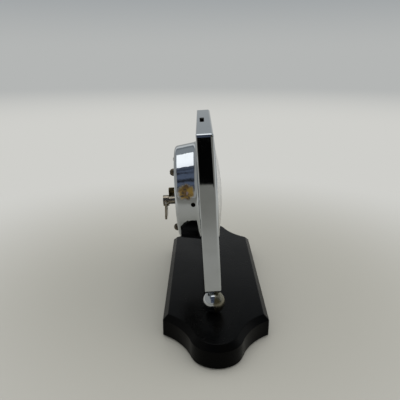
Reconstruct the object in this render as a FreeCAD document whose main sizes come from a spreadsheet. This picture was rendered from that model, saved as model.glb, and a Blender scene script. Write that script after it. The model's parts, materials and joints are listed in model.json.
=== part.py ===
import FreeCAD, Part
import math
import os
import types

import Sketcher

# A wind-up desk clock: a chrome case that leans back on two ball feet, on a black plinth.
# World frame: origin at the middle of the plinth's underside, +X along the case, +Z up, dial facing -Y.
# Head frame: origin on the dial axis at mid thickness of the case, x right, y up the case, z out of the dial.

# Driving sizes in millimetres, angles in degrees, teeth and turns as counts
SIZES = {
    # Plinth
    "base_width": 78.0,
    "base_length": 226.0,
    "base_height": 17.5,
    "base_chamfer": 3.8,
    "lobe_radius": 19.0,
    "lobe_angle": 71.35,
    "hollow_radius": 45.0,
    "felt_thickness": 1.0,
    "felt_inset": 2.0,
    # Ball feet and the screws that pass up through them
    "ball_diameter": 16.7,
    "ball_flat": 0.25,
    "ball_spacing": 138.0,
    "ball_set_back": 1.55,
    "foot_screw_diameter": 2.6,
    "foot_screw_play": 0.1,
    "foot_screw_reach": 9.0,
    "foot_head_diameter": 5.5,
    "foot_head_height": 2.2,
    "foot_washer_diameter": 7.5,
    "foot_washer_thickness": 0.8,
    "foot_recess_diameter": 9.0,
    "foot_recess_depth": 6.0,
    # Chrome case
    "case_lean": 3.3,
    "case_foot_width": 146.4,
    "case_top_width": 133.0,
    "case_height": 115.7,
    "case_thickness": 12.0,
    "case_wall": 1.2,
    "case_corner_radius": 2.5,
    "case_front_radius": 2.0,
    "case_rear_radius": 0.8,
    "axis_height": 57.0,
    "foot_hole_play": 0.4,
    "block_width": 8.0,
    "block_height": 10.0,
    "block_gap": 0.2,
    # Back plate and its fixings
    "back_plate_thickness": 1.2,
    "back_plate_gap": 0.15,
    "back_plate_opening_gap": 0.5,
    "tab_width": 16.0,
    "tab_reach": 6.5,
    "tab_thickness": 1.4,
    "tab_gap": 0.1,
    "top_screw_diameter": 2.2,
    "top_screw_from_back": 4.4,
    "top_screw_length": 5.0,
    "top_head_diameter": 3.6,
    "top_head_height": 1.5,
    "plate_screw_diameter": 1.8,
    "plate_screw_length": 4.5,
    "plate_head_diameter": 3.6,
    "plate_head_height": 0.7,
    "screw_play": 0.05,
    # Rear can
    "can_depth": 19.3,
    "can_front_diameter": 82.0,
    "can_taper": 3.0,
    "can_wall": 0.9,
    "can_edge_radius": 3.0,
    "can_flange_width": 3.6,
    "can_flange_thickness": 0.8,
    "can_neck_radius": 3.3,
    "can_side_hole_diameter": 3.5,
    "can_side_hole_from_case": 5.5,
    "can_side_hole_height": 1.0,
    "back_screw_diameter": 2.6,
    "back_screw_bite": 5.0,
    "back_head_diameter": 5.8,
    "back_head_rim": 0.7,
    "back_head_height": 3.4,
    "back_head_slot_width": 0.8,
    "back_head_slot_depth": 1.1,
    "spacer_diameter": 5.0,
    "spacer_length": 2.6,
    # Bezel, glass and dial
    "bezel_diameter": 87.5,
    "bezel_height": 1.6,
    "bezel_rim": 0.5,
    "bezel_crown": 2.4,
    "bezel_opening": 79.0,
    "bezel_lip": 0.8,
    "spigot_diameter": 83.6,
    "spigot_wall": 0.9,
    "spigot_gap": 0.1,
    "glass_thickness": 1.5,
    "glass_rise": 4.8,
    "glass_gap": 0.1,
    "retainer_wall": 2.2,
    "dial_depth": 3.0,
    "dial_thickness": 0.5,
    "dial_overlap": 0.4,
    "dial_hole_play": 0.3,
    "dial_foot_diameter": 1.6,
    "dial_foot_circle": 60.0,
    "dial_foot_angle": 20.0,
    # Movement plates and pillars
    "plate_thickness": 1.5,
    "front_plate_overlap": 3.0,
    "rear_plate_gap": 2.6,
    "pillar_inset": 2.4,
    "pillar_diameter": 5.0,
    "pillar_spigot_diameter": 3.0,
    "pillar_thread_depth": 6.0,
    "movement_screw_diameter": 1.8,
    "movement_head_diameter": 3.0,
    "movement_head_height": 1.0,
    # Running fits
    "running_play": 0.03,
    "seat_play": 0.02,
    "end_play": 0.1,
    # Barrel, arbor and winding work
    "barrel_teeth": 72,
    "centre_leaves": 9,
    "barrel_module": 0.4,
    "barrel_angle": 187.4,
    "great_wheel_thickness": 1.2,
    "barrel_drum_diameter": 26.6,
    "barrel_wall": 1.0,
    "barrel_cover_thickness": 1.0,
    "winding_arbor_diameter": 4.0,
    "winding_pivot_diameter": 2.4,
    "barrel_core_diameter": 6.4,
    "mainspring_thickness": 0.3,
    "mainspring_turns": 7,
    "mainspring_side_gap": 0.3,
    "ratchet_teeth": 32,
    "ratchet_diameter": 12.0,
    "ratchet_tooth_depth": 0.8,
    "ratchet_thickness": 1.2,
    "ratchet_gap": 0.3,
    "click_thickness": 1.0,
    "click_arm": 6.4,
    "click_hub_diameter": 3.6,
    "click_screw_diameter": 2.0,
    "click_thread_diameter": 1.6,
    "click_head_diameter": 3.2,
    "click_head_height": 0.6,
    "click_spring_width": 0.35,
    "click_spring_reach": 8.0,
    "click_spring_post_diameter": 1.8,
    # Going train
    "centre_teeth": 80,
    "third_leaves": 10,
    "centre_module": 0.35,
    "third_angle": 75.0,
    "third_teeth": 75,
    "fourth_leaves": 10,
    "third_module": 0.3,
    "fourth_angle": -40.0,
    "fourth_teeth": 80,
    "escape_leaves": 10,
    "fourth_module": 0.25,
    "escape_angle": -85.0,
    "wheel_thickness": 0.9,
    "leaf_length": 1.6,
    "train_arbor_diameter": 1.5,
    "train_pivot_diameter": 0.8,
    "centre_arbor_diameter": 2.0,
    "centre_collar_diameter": 4.0,
    "centre_collar_length": 0.5,
    # Escapement and balance
    "escape_teeth": 15,
    "escape_diameter": 12.0,
    "escape_tooth_depth": 1.4,
    "escape_thickness": 0.6,
    "pallet_span": 60.0,
    "pallet_pin_diameter": 0.5,
    "pallet_pin_gap": 0.1,
    "lever_angle": -120.0,
    "lever_thickness": 0.8,
    "lever_arbor_diameter": 1.2,
    "lever_pivot_diameter": 0.6,
    "fork_length": 9.0,
    "fork_width": 2.4,
    "fork_slot": 1.0,
    "fork_slot_depth": 1.0,
    "impulse_gap": 0.15,
    "balance_diameter": 16.0,
    "balance_rim_width": 1.4,
    "balance_rim_height": 1.5,
    "balance_arm_width": 2.0,
    "balance_hub_diameter": 4.0,
    "balance_staff_diameter": 1.2,
    "balance_pivot_diameter": 0.6,
    "roller_diameter": 5.0,
    "roller_thickness": 0.6,
    "impulse_pin_diameter": 0.6,
    "hairspring_diameter": 12.0,
    "hairspring_thickness": 0.15,
    "hairspring_height": 0.8,
    "hairspring_turns": 7,
    "hairspring_collet_diameter": 2.4,
    "hairspring_stud_diameter": 1.0,
    # Motion work and hands
    "cannon_leaves": 12,
    "minute_teeth": 36,
    "minute_module": 0.3,
    "minute_leaves": 10,
    "hour_teeth": 40,
    "minute_stud_angle": 90.0,
    "minute_stud_diameter": 1.6,
    "motion_gap": 0.4,
    "motion_wheel_thickness": 0.8,
    "cannon_pipe_diameter": 3.2,
    "hour_pipe_wall": 0.65,
    "hour_hand_length": 22.0,
    "hour_hand_width": 4.2,
    "hour_hand_angle": 304.0,
    "minute_hand_length": 33.0,
    "minute_hand_width": 3.2,
    "minute_hand_angle": 48.0,
    "hand_tail": 7.0,
    "hand_thickness": 0.4,
    "hand_eye_wall": 1.2,
    "hand_gap": 0.9,
    "hand_nut_diameter": 4.8,
    "hand_nut_height": 1.2,
    # Key and set knob
    "key_stem_diameter": 6.0,
    "key_stem_length": 5.8,
    "key_can_gap": 0.4,
    "key_hub_diameter": 8.8,
    "key_hub_length": 4.5,
    "key_pin_diameter": 1.6,
    "key_eye_diameter": 3.4,
    "key_eye_length": 2.2,
    "key_eye_gap": 0.15,
    "wing_length": 14.4,
    "wing_thickness": 1.6,
    "wing_corner_radius": 2.0,
    "wing_notch_gap": 0.3,
    "knob_diameter": 7.65,
    "knob_length": 6.4,
    "knob_can_gap": 0.8,
    "knob_ridges": 28,
    "knob_ridge_depth": 0.3,
}

# Tooth form in modules and in shares of the tooth pitch
ADDENDUM = 0.9
DEDENDUM = 1.25
WHEEL_TOOTH_SHARES = (0.54, 0.14)
LEAF_SHARES = (0.46, 0.12)

# Heights of the train between the movement plates, as shares of the gap from the front plate
LEVELS = {
    "centre_pipe_front": 0.04,
    "centre_wheel": 0.10,
    "great_wheel": 0.24,
    "balance_rim": 0.26,
    "centre_pipe_back": 0.34,
    "third_wheel": 0.46,
    "escape_wheel": 0.48,
    "lever": 0.56,
    "roller": 0.65,
    "fourth_wheel": 0.70,
    "hairspring": 0.79,
    "barrel_back": 0.84,
}


class Size:
    """A number together with the sheet expression that gives it."""

    def __init__(self, value, text):
        self.value = value
        self.text = text

    def __add__(self, other):
        other = as_size(other)
        return Size(self.value + other.value, f"({self.text} + {other.text})")

    def __sub__(self, other):
        other = as_size(other)
        return Size(self.value - other.value, f"({self.text} - {other.text})")

    def __mul__(self, other):
        other = as_size(other)
        return Size(self.value * other.value, f"({self.text} * {other.text})")

    def __truediv__(self, other):
        other = as_size(other)
        return Size(self.value / other.value, f"({self.text} / {other.text})")

    def __neg__(self):
        return Size(-self.value, f"(0 - {self.text})")

    def __radd__(self, other):
        return as_size(other) + self

    def __rsub__(self, other):
        return as_size(other) - self

    def __rmul__(self, other):
        return as_size(other) * self


def as_size(number):
    return number if isinstance(number, Size) else Size(float(number), repr(float(number)))


def root(size):
    return Size(math.sqrt(size.value), f"sqrt({size.text})")


def cosine(angle):
    return Size(math.cos(math.radians(angle.value)), f"cos({angle.text})")


def sine(angle):
    return Size(math.sin(math.radians(angle.value)), f"sin({angle.text})")


def polar(distance, angle, start=(0, 0)):
    """The point at a distance and an angle from a starting point."""
    return (start[0] + distance * cosine(angle), start[1] + distance * sine(angle))


doc = FreeCAD.newDocument("desk_clock")
sheet = doc.addObject("Spreadsheet::Sheet", "sizes")
for row, (alias, number) in enumerate(SIZES.items(), start=1):
    sheet.set(f"A{row}", alias)
    sheet.set(f"B{row}", str(number))
    sheet.setAlias(f"B{row}", alias)
doc.recompute()
S = types.SimpleNamespace(**{alias: Size(number, f"sizes.{alias}") for alias, number in SIZES.items()})

vector = FreeCAD.Vector
X_AXIS = vector(1, 0, 0)
Z_AXIS = vector(0, 0, 1)
nodes = {}


def shift(x=0, y=0, z=0):
    return FreeCAD.Placement(vector(as_size(x).value, as_size(y).value, as_size(z).value), FreeCAD.Rotation())


def turn(axis, degrees):
    return FreeCAD.Placement(vector(0, 0, 0), FreeCAD.Rotation(axis, degrees))


FACE_BACK = turn(X_AXIS, 180)
FACE_UP = turn(X_AXIS, -90)

# Where the case stands: on the tops of the balls, leaning back about its foot
ball_reach = S.ball_diameter / 2 - S.ball_flat
ball_x = S.ball_spacing / 2
ball_centre_z = S.base_height + ball_reach
lean_sine = sine(S.case_lean)
lean_cosine = cosine(S.case_lean)
head_reach = ball_reach + S.axis_height
head_origin = (0, S.ball_set_back + head_reach * lean_sine, ball_centre_z + head_reach * lean_cosine)
HEAD = shift(*head_origin).multiply(turn(X_AXIS, 90 - SIZES["case_lean"]))

# Planes of the head along the dial axis, from the glass to the back of the can
front = S.case_thickness / 2
rear = -front
dial_front = front - S.dial_depth
dial_back = dial_front - S.dial_thickness
front_plate_back = rear + S.back_plate_thickness
front_plate_front = front_plate_back + S.plate_thickness
can_back = rear - S.can_depth
can_floor = can_back + S.can_wall
rear_plate_back = can_floor + S.spacer_length
rear_plate_front = rear_plate_back + S.plate_thickness
plate_gap = front_plate_back - rear_plate_front


def level(name):
    return front_plate_back - plate_gap * LEVELS[name]


def on_head(x=0, y=0, z=0):
    """A placement in the head frame."""
    return HEAD.multiply(shift(x, y, z))


def ring_points(radius, count, first=45.0):
    """Points evenly spaced on a circle of the head."""
    return [polar(radius, as_size(first + 360.0 * k / count)) for k in range(count)]


# Radii of the can and of the plates inside it
can_front_radius = S.can_front_diameter / 2
can_back_radius = can_front_radius - S.can_taper
rear_plate_radius = can_back_radius - S.can_wall - S.rear_plate_gap
opening_radius = rear_plate_radius + S.back_plate_opening_gap
front_plate_radius = opening_radius + S.front_plate_overlap

# Centres of the arbors in the head frame
centre_at = (as_size(0), as_size(0))
barrel_at = polar((S.barrel_teeth + S.centre_leaves) / 2 * S.barrel_module, S.barrel_angle)
third_at = polar((S.centre_teeth + S.third_leaves) / 2 * S.centre_module, S.third_angle)
fourth_at = polar((S.third_teeth + S.fourth_leaves) / 2 * S.third_module, S.fourth_angle, third_at)
escape_at = polar((S.fourth_teeth + S.escape_leaves) / 2 * S.fourth_module, S.escape_angle, fourth_at)
pallet_circle = S.escape_diameter / 2 + S.pallet_pin_diameter / 2 + S.pallet_pin_gap
lever_at = polar(pallet_circle / cosine(S.pallet_span / 2), S.lever_angle, escape_at)
impulse_radius = S.roller_diameter / 2 - S.impulse_pin_diameter
balance_distance = S.fork_length + S.impulse_gap + S.impulse_pin_diameter / 2 + impulse_radius
balance_at = polar(balance_distance, S.lever_angle, lever_at)
motion_distance = (S.cannon_leaves + S.minute_teeth) / 2 * S.minute_module
hour_module = motion_distance * 2 / (S.minute_leaves + S.hour_teeth)
minute_stud_at = polar(motion_distance, S.minute_stud_angle)
pillar_points = ring_points(rear_plate_radius - S.pillar_inset, 4)
movement_screw_points = ring_points(opening_radius + S.front_plate_overlap / 2, 4, first=0.0)
dial_foot_points = [polar(S.dial_foot_circle / 2, S.dial_foot_angle),
                    polar(S.dial_foot_circle / 2, S.dial_foot_angle + 180)]


def new_body(name, placement=None):
    body = doc.addObject("PartDesign::Body", name)
    body.Label = name
    if placement is not None:
        body.Placement = placement
    return body


def new_sketch(body, plane, offset=None):
    """A sketch on one of the body's own planes, moved along the plane's normal."""
    sketch = body.newObject("Sketcher::SketchObject", f"{body.Name}_sketch")
    support = [feature for feature in body.Origin.OriginFeatures if feature.Role == plane][0]
    sketch.AttachmentSupport = [(support, "")]
    sketch.MapMode = "FlatFace"
    if offset is not None:
        sketch.AttachmentOffset = shift(z=offset)
        sketch.setExpression("AttachmentOffset.Base.z", as_size(offset).text)
    return sketch


def bind(sketch, kind, reference, size):
    """A dimension in a sketch that takes its value from the sheet."""
    size = as_size(size)
    index = sketch.addConstraint(Sketcher.Constraint(kind, *reference, size.value))
    sketch.setExpression(f"Constraints[{index}]", size.text)


def arc_between(start, end, radius):
    """The short arc of a signed radius from start to end; a positive radius bows to the right."""
    chord = end - start
    half = chord.Length / 2
    height = math.sqrt(max(radius * radius - half * half, 0.0))
    left = vector(-chord.y, chord.x, 0).normalize()
    middle = (start + end) * 0.5
    centre = middle + left * (height if radius > 0 else -height)
    first, last = (start, end) if radius > 0 else (end, start)
    circle = Part.Circle(centre, Z_AXIS, abs(radius))
    return Part.ArcOfCircle(circle, circle.parameter(first), circle.parameter(last))


def draw_outline(sketch, corners):
    """A closed outline; a corner's third value is the signed radius of the edge that leaves it."""
    points = [vector(as_size(corner[0]).value, as_size(corner[1]).value, 0) for corner in corners]
    edges = []
    for k, corner in enumerate(corners):
        start, end = points[k], points[(k + 1) % len(points)]
        if len(corner) == 2:
            edges.append((sketch.addGeometry(Part.LineSegment(start, end)), 1, 2))
        else:
            radius = as_size(corner[2])
            geometry = sketch.addGeometry(arc_between(start, end, radius.value))
            edges.append((geometry, 1, 2) if radius.value > 0 else (geometry, 2, 1))
    for k, (geometry, first, last) in enumerate(edges):
        following = edges[(k + 1) % len(edges)]
        sketch.addConstraint(Sketcher.Constraint("Coincident", geometry, last, following[0], following[1]))
    for corner, (geometry, first, last) in zip(corners, edges):
        bind(sketch, "DistanceX", (-1, 1, geometry, first), corner[0])
        bind(sketch, "DistanceY", (-1, 1, geometry, first), corner[1])
        if len(corner) == 3:
            radius = as_size(corner[2])
            bind(sketch, "Radius", (geometry,), radius if radius.value > 0 else -radius)


def draw_circles(sketch, circles):
    """Circles given as centre x, centre y and radius."""
    for x, y, radius in circles:
        centre = vector(as_size(x).value, as_size(y).value, 0)
        geometry = sketch.addGeometry(Part.Circle(centre, Z_AXIS, as_size(radius).value))
        bind(sketch, "DistanceX", (-1, 1, geometry, 3), x)
        bind(sketch, "DistanceY", (-1, 1, geometry, 3), y)
        bind(sketch, "Radius", (geometry,), radius)


def add_pad(body, sketch, length, reverse=False, symmetric=False):
    pad = body.newObject("PartDesign::Pad", f"{body.Name}_pad")
    pad.Profile = sketch
    pad.setExpression("Length", as_size(length).text)
    pad.Reversed = reverse
    if symmetric:
        pad.SideType = "Symmetric"
    return pad


def add_pocket(body, sketch, length=None, reverse=False):
    """A cut to a depth, or through the whole body where no depth is given, that has to remove something."""
    doc.recompute()
    before = body.Shape.Volume
    pocket = body.newObject("PartDesign::Pocket", f"{body.Name}_pocket")
    pocket.Profile = sketch
    if length is None:
        pocket.Type = "ThroughAll"
        pocket.SideType = "Symmetric"
    else:
        pocket.setExpression("Length", as_size(length).text)
        pocket.Reversed = reverse
    doc.recompute()
    if body.Shape.Volume >= before:
        raise RuntimeError(f"{body.Label}: a pocket removed nothing")
    return pocket


def drill(body, circles, plane="XY_Plane", offset=None, length=None, reverse=False):
    sketch = new_sketch(body, plane, offset)
    draw_circles(sketch, circles)
    return add_pocket(body, sketch, length, reverse)


def round_edges(body, radius, wanted, kind="PartDesign::Fillet"):
    """Rounds or bevels the edges of the body, in its own frame, that a test picks out."""
    doc.recompute()
    tip = body.Tip
    names = [f"Edge{k}" for k, edge in enumerate(tip.Shape.Edges, start=1) if wanted(edge)]
    if not names:
        raise RuntimeError(f"{body.Label}: no edge to round")
    feature = body.newObject(kind, f"{body.Name}_edges")
    feature.Base = (tip, names)
    feature.setExpression("Radius" if kind.endswith("Fillet") else "Size", as_size(radius).text)
    doc.recompute()
    return feature


def at_height(z):
    """Picks the edges that lie wholly in a plane square to z."""
    z = as_size(z).value
    return lambda edge: abs(edge.BoundBox.ZMin - z) < 1e-4 and abs(edge.BoundBox.ZMax - z) < 1e-4


def ring_at(radius, z):
    """Picks a round edge by its radius and its height."""
    flat = at_height(z)
    return lambda edge: flat(edge) and abs(edge.BoundBox.XLength / 2 - as_size(radius).value) < 1e-3


def turned(name, profile, placement=None):
    """A body turned about its own z axis from a half profile of radius and height."""
    body = new_body(name, placement)
    sketch = new_sketch(body, "XZ_Plane")
    draw_outline(sketch, profile)
    revolution = body.newObject("PartDesign::Revolution", f"{name}_turned")
    revolution.Profile = sketch
    revolution.ReferenceAxis = (sketch, ["V_Axis"])
    return body


def keep(name, piece):
    piece.Label = name
    nodes[name] = piece
    return piece


def group(name, pieces):
    """Like pieces that share one node, as separate solids."""
    compound = doc.addObject("Part::Compound", name)
    compound.Links = pieces
    return keep(name, compound)


def shaped(name, shape, placement):
    """A piece with a toothed or spiral outline, which comes from a formula."""
    feature = doc.addObject("Part::Feature", name)
    feature.Shape = shape
    feature.Placement = placement
    return keep(name, feature)


def tube_profile(inner, outer, bottom, top):
    return [(inner, bottom), (outer, bottom), (outer, top), (inner, top)]


# Toothed and spiral outlines


def prism(points, thickness):
    wire = Part.makePolygon(points + points[:1])
    return Part.Face(wire).extrude(vector(0, 0, thickness))


def on_circle(radius, degrees):
    return vector(radius * math.cos(math.radians(degrees)), radius * math.sin(math.radians(degrees)), 0)


def toothed(teeth, module, thickness, facing, shares, gap_there=False):
    """A toothed disc with a tooth, or a gap, on the line to its mate."""
    teeth = int(teeth.value)
    module = as_size(module).value
    pitch = 360.0 / teeth
    start = facing + (pitch / 2 if gap_there else 0.0)
    root_radius = module * (teeth / 2 - DEDENDUM)
    tip_radius = module * (teeth / 2 + ADDENDUM)
    points = []
    for k in range(teeth):
        middle = start + k * pitch
        root_half, tip_half = (share * pitch / 2 for share in shares)
        points.append(on_circle(root_radius, middle - root_half))
        points.append(on_circle(tip_radius, middle - tip_half))
        points.append(on_circle(tip_radius, middle + tip_half))
        points.append(on_circle(root_radius, middle + root_half))
    return prism(points, as_size(thickness).value)


def saw_toothed(teeth, tip_radius, depth, thickness, start, sense):
    """A disc whose teeth have one radial face, looking along the sense of turning, and one long slope."""
    teeth = int(teeth.value)
    pitch = sense * 360.0 / teeth
    points = []
    for k in range(teeth):
        points.append(on_circle(tip_radius.value, start + k * pitch))
        points.append(on_circle((tip_radius - depth).value, start + k * pitch))
    return prism(points, thickness.value)


def spiral(outer_radius, step, thickness, half_turns, height):
    """A flat strip wound in half circles about two centres."""
    outer_edges, inner_edges = [], []
    for k in range(half_turns):
        centre = vector(0 if k % 2 == 0 else -step / 2, 0, 0)
        side = 1 if k % 2 == 0 else -1
        for edges, radius in ((outer_edges, outer_radius - k * step / 2),
                              (inner_edges, outer_radius - thickness - k * step / 2)):
            ends = [centre + vector(side * radius, 0, 0), centre + vector(-side * radius, 0, 0)]
            edges.append(Part.Arc(ends[0], centre + vector(0, side * radius, 0), ends[1]).toShape())
    start_cap = Part.makeLine(inner_edges[0].Vertexes[0].Point, outer_edges[0].Vertexes[0].Point)
    end_cap = Part.makeLine(outer_edges[-1].Vertexes[-1].Point, inner_edges[-1].Vertexes[-1].Point)
    wire = Part.Wire(Part.__sortEdges__([start_cap] + outer_edges + [end_cap] + inner_edges))
    return Part.Face(wire).extrude(vector(0, 0, height))


def rod(radius, bottom, top):
    """A plain round bar along z between two heights."""
    bottom, top = as_size(bottom).value, as_size(top).value
    return Part.makeCylinder(as_size(radius).value, top - bottom, vector(0, 0, bottom))


def direction(start, end):
    """The angle of the line from one arbor to another."""
    return math.degrees(math.atan2((end[1] - start[1]).value, (end[0] - start[0]).value))


# Plinth


def plinth_outline(inset):
    """The ogee outline of the plinth, drawn in by an inset."""
    lobe_x = S.base_length / 2 - S.lobe_radius
    hollow = polar(S.lobe_radius + S.hollow_radius, S.lobe_angle, (lobe_x, 0))
    side_y = S.base_width / 2 - inset
    hollow_radius = S.hollow_radius + inset
    lobe_radius = S.lobe_radius - inset
    drop = hollow[1] - side_y
    corner_x = hollow[0] - root(hollow_radius * hollow_radius - drop * drop)
    waist_x, waist_y = polar(lobe_radius, S.lobe_angle, (lobe_x, 0))
    return [
        (-corner_x, -side_y),
        (corner_x, -side_y, -hollow_radius),
        (waist_x, -waist_y, lobe_radius),
        (waist_x, waist_y, -hollow_radius),
        (corner_x, side_y),
        (-corner_x, side_y, -hollow_radius),
        (-waist_x, waist_y, lobe_radius),
        (-waist_x, -waist_y, -hollow_radius),
    ]


def make_plinth():
    block = new_body("base_block")
    sketch = new_sketch(block, "XY_Plane", S.felt_thickness)
    draw_outline(sketch, plinth_outline(as_size(0)))
    add_pad(block, sketch, S.base_height - S.felt_thickness)
    round_edges(block, S.base_chamfer, at_height(S.base_height), "PartDesign::Chamfer")
    feet = [(side * ball_x, S.ball_set_back) for side in (-1, 1)]
    recess = S.foot_recess_diameter / 2
    drill(block, [(x, y, recess) for x, y in feet], offset=S.felt_thickness,
          length=S.foot_recess_depth, reverse=True)
    hole = S.foot_screw_diameter / 2 + S.foot_screw_play
    drill(block, [(x, y, hole) for x, y in feet])
    keep("base_block", block)

    felt = new_body("base_felt")
    sketch = new_sketch(felt, "XY_Plane")
    draw_outline(sketch, plinth_outline(S.felt_inset))
    add_pad(felt, sketch, S.felt_thickness)
    keep("base_felt", felt)


def make_ball(name, x):
    """A ball with a level flat below, a leaning flat above and a bore for its screw."""
    radius = S.ball_diameter / 2
    seat = root(radius * radius - ball_reach * ball_reach)
    ball = turned(name, [(0, -ball_reach), (seat, -ball_reach, radius), (0, radius)],
                  shift(x, S.ball_set_back, ball_centre_z))
    sketch = new_sketch(ball, "YZ_Plane")
    flat_middle = (ball_reach * lean_sine, ball_reach * lean_cosine)
    along = (radius * lean_cosine, -(radius * lean_sine))
    above = (radius * lean_sine, radius * lean_cosine)
    draw_outline(sketch, [
        (flat_middle[0] - along[0], flat_middle[1] - along[1]),
        (flat_middle[0] + along[0], flat_middle[1] + along[1]),
        (flat_middle[0] + along[0] + above[0], flat_middle[1] + along[1] + above[1]),
        (flat_middle[0] - along[0] + above[0], flat_middle[1] - along[1] + above[1]),
    ])
    add_pocket(ball, sketch)
    drill(ball, [(0, 0, S.foot_screw_diameter / 2 + S.foot_screw_play)])
    keep(name, ball)


def make_foot_fixings():
    """Screws from a recess under the plinth, up through the balls and into the case."""
    seat_z = S.felt_thickness + S.foot_recess_depth
    head_top = seat_z - S.foot_washer_thickness
    head_bottom = head_top - S.foot_head_height
    shank = S.foot_screw_diameter / 2
    head = S.foot_head_diameter / 2
    tip_z = ball_centre_z + ball_reach + S.foot_screw_reach
    screw_profile = [(0, head_bottom), (head, head_bottom), (head, head_top), (shank, head_top),
                     (shank, tip_z), (0, tip_z)]
    washer_profile = tube_profile(shank + S.foot_screw_play, S.foot_washer_diameter / 2, head_top, seat_z)
    screws, washers = [], []
    for side, word in ((-1, "left"), (1, "right")):
        place = shift(side * ball_x, S.ball_set_back)
        screws.append(turned(f"foot_screw_{word}", screw_profile, place))
        washers.append(turned(f"foot_washer_{word}", washer_profile, place))
    group("foot_screws", screws)
    group("foot_washers", washers)


# Case

foot_y = -S.axis_height
top_y = S.case_height - S.axis_height
top_screw_z = rear + S.top_screw_from_back
foot_inner_x = S.case_foot_width / 2 - S.case_wall
case_slope = (S.case_foot_width - S.case_top_width) / 2 / S.case_height
block_outer_x = foot_inner_x - case_slope * (S.case_wall + S.block_height) - S.block_gap
block_bottom_y = foot_y + S.case_wall
plate_screw_points = [(side * (block_outer_x - S.block_width * 0.7), block_bottom_y + S.block_height * 0.7)
                      for side in (-1, 1)]


def case_outline(inset):
    """The case seen from the front, a little wider at its foot."""
    foot_x = S.case_foot_width / 2 - inset
    top_x = S.case_top_width / 2 - inset
    low_y, high_y = foot_y + inset, top_y - inset
    return [(-foot_x, low_y), (foot_x, low_y), (top_x, high_y), (-top_x, high_y)]


def runs_along_z(edge):
    return edge.BoundBox.ZLength > S.case_thickness.value / 2 and edge.BoundBox.XLength < 1e-4


def make_case_shell():
    shell = new_body("case_shell", on_head())
    sketch = new_sketch(shell, "XY_Plane")
    draw_outline(sketch, case_outline(as_size(0)))
    add_pad(shell, sketch, S.case_thickness, symmetric=True)
    round_edges(shell, S.case_corner_radius, runs_along_z)
    round_edges(shell, S.case_front_radius, at_height(front))
    round_edges(shell, S.case_rear_radius, at_height(rear))
    hollow = new_sketch(shell, "XY_Plane", rear)
    draw_outline(hollow, case_outline(S.case_wall))
    add_pocket(shell, hollow, S.case_thickness - S.case_wall, reverse=True)
    drill(shell, [(0, 0, S.spigot_diameter / 2 + S.spigot_gap)])
    screw_z = ball_reach * lean_sine / lean_cosine
    foot_hole = S.foot_screw_diameter / 2 + S.foot_hole_play
    drill(shell, [(side * ball_x, screw_z, foot_hole) for side in (-1, 1)],
          "XZ_Plane", S.axis_height, S.case_wall * 2)
    drill(shell, [(0, top_screw_z, S.top_screw_diameter / 2 + S.screw_play)],
          "XZ_Plane", -top_y, S.case_wall * 2, reverse=True)
    keep("case_shell", shell)


def make_corner_blocks():
    """Threaded blocks in the lower corners that take the foot screws and the back plate's screws."""
    depth = S.case_thickness - S.case_wall - S.back_plate_thickness
    blocks = []
    for side, word in ((-1, "left"), (1, "right")):
        block = new_body(f"corner_block_{word}", on_head())
        sketch = new_sketch(block, "XY_Plane", front_plate_back)
        inner_x, outer_x = side * (block_outer_x - S.block_width), side * block_outer_x
        low_x, high_x = (inner_x, outer_x) if side > 0 else (outer_x, inner_x)
        top = block_bottom_y + S.block_height
        draw_outline(sketch, [(low_x, block_bottom_y), (high_x, block_bottom_y), (high_x, top), (low_x, top)])
        add_pad(block, sketch, depth)
        screw_at = plate_screw_points[0 if side < 0 else 1]
        drill(block, [(*screw_at, S.plate_screw_diameter / 2 + S.seat_play)], offset=front_plate_back,
              length=S.plate_screw_length, reverse=True)
        bore = doc.addObject("Part::Cylinder", f"corner_bore_{word}")
        bore.setExpression("Radius", (S.foot_screw_diameter / 2 + S.seat_play).text)
        bore.setExpression("Height", (S.ball_diameter + S.foot_screw_reach).text)
        bore.Placement = shift(side * ball_x, S.ball_set_back, ball_centre_z)
        bored = doc.addObject("Part::Cut", f"corner_bored_{word}")
        bored.Base = block
        bored.Tool = bore
        blocks.append(bored)
    group("corner_blocks", blocks)


def make_back_plate():
    plate = new_body("back_plate", on_head())
    sketch = new_sketch(plate, "XY_Plane", rear)
    draw_outline(sketch, case_outline(S.case_wall + S.back_plate_gap))
    add_pad(plate, sketch, S.back_plate_thickness)
    tab_y = top_y - S.case_wall - S.tab_gap
    tab = new_sketch(plate, "XZ_Plane", -tab_y)
    half = S.tab_width / 2
    tab_front = front_plate_back + S.tab_reach
    draw_outline(tab, [(-half, rear), (half, rear), (half, tab_front), (-half, tab_front)])
    add_pad(plate, tab, S.tab_thickness)
    screw_hole = S.movement_screw_diameter / 2 + S.seat_play
    drill(plate, [(0, 0, opening_radius)])
    drill(plate, [(x, y, screw_hole) for x, y in movement_screw_points])
    shank = S.plate_screw_diameter / 2 + S.screw_play
    head = S.plate_head_diameter / 2 + S.screw_play
    drill(plate, [(x, y, shank) for x, y in plate_screw_points])
    drill(plate, [(x, y, head) for x, y in plate_screw_points], offset=rear,
          length=S.plate_head_height, reverse=True)
    drill(plate, [(0, top_screw_z, S.top_screw_diameter / 2 + S.seat_play)], "XZ_Plane", -tab_y,
          S.tab_thickness * 2, reverse=True)
    keep("back_plate", plate)


def make_case_screws():
    shank = S.top_screw_diameter / 2
    head = S.top_head_diameter / 2
    top = turned("top_screw", [(0, -S.top_screw_length), (shank, -S.top_screw_length), (shank, 0), (head, 0),
                               (head, S.top_head_height), (0, S.top_head_height)],
                 on_head(0, top_y, top_screw_z).multiply(FACE_UP))
    keep("top_screw", top)
    shank = S.plate_screw_diameter / 2
    head = S.plate_head_diameter / 2
    tip = -(S.plate_screw_length + S.back_plate_thickness - S.end_play)
    profile = [(0, tip), (shank, tip), (shank, -S.plate_head_height), (head, -S.plate_head_height),
               (head, 0), (0, 0)]
    group("plate_screws", [turned(f"plate_screw_{k}", profile, on_head(x, y, rear).multiply(FACE_BACK))
                           for k, (x, y) in enumerate(plate_screw_points)])


# Rear can


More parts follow.
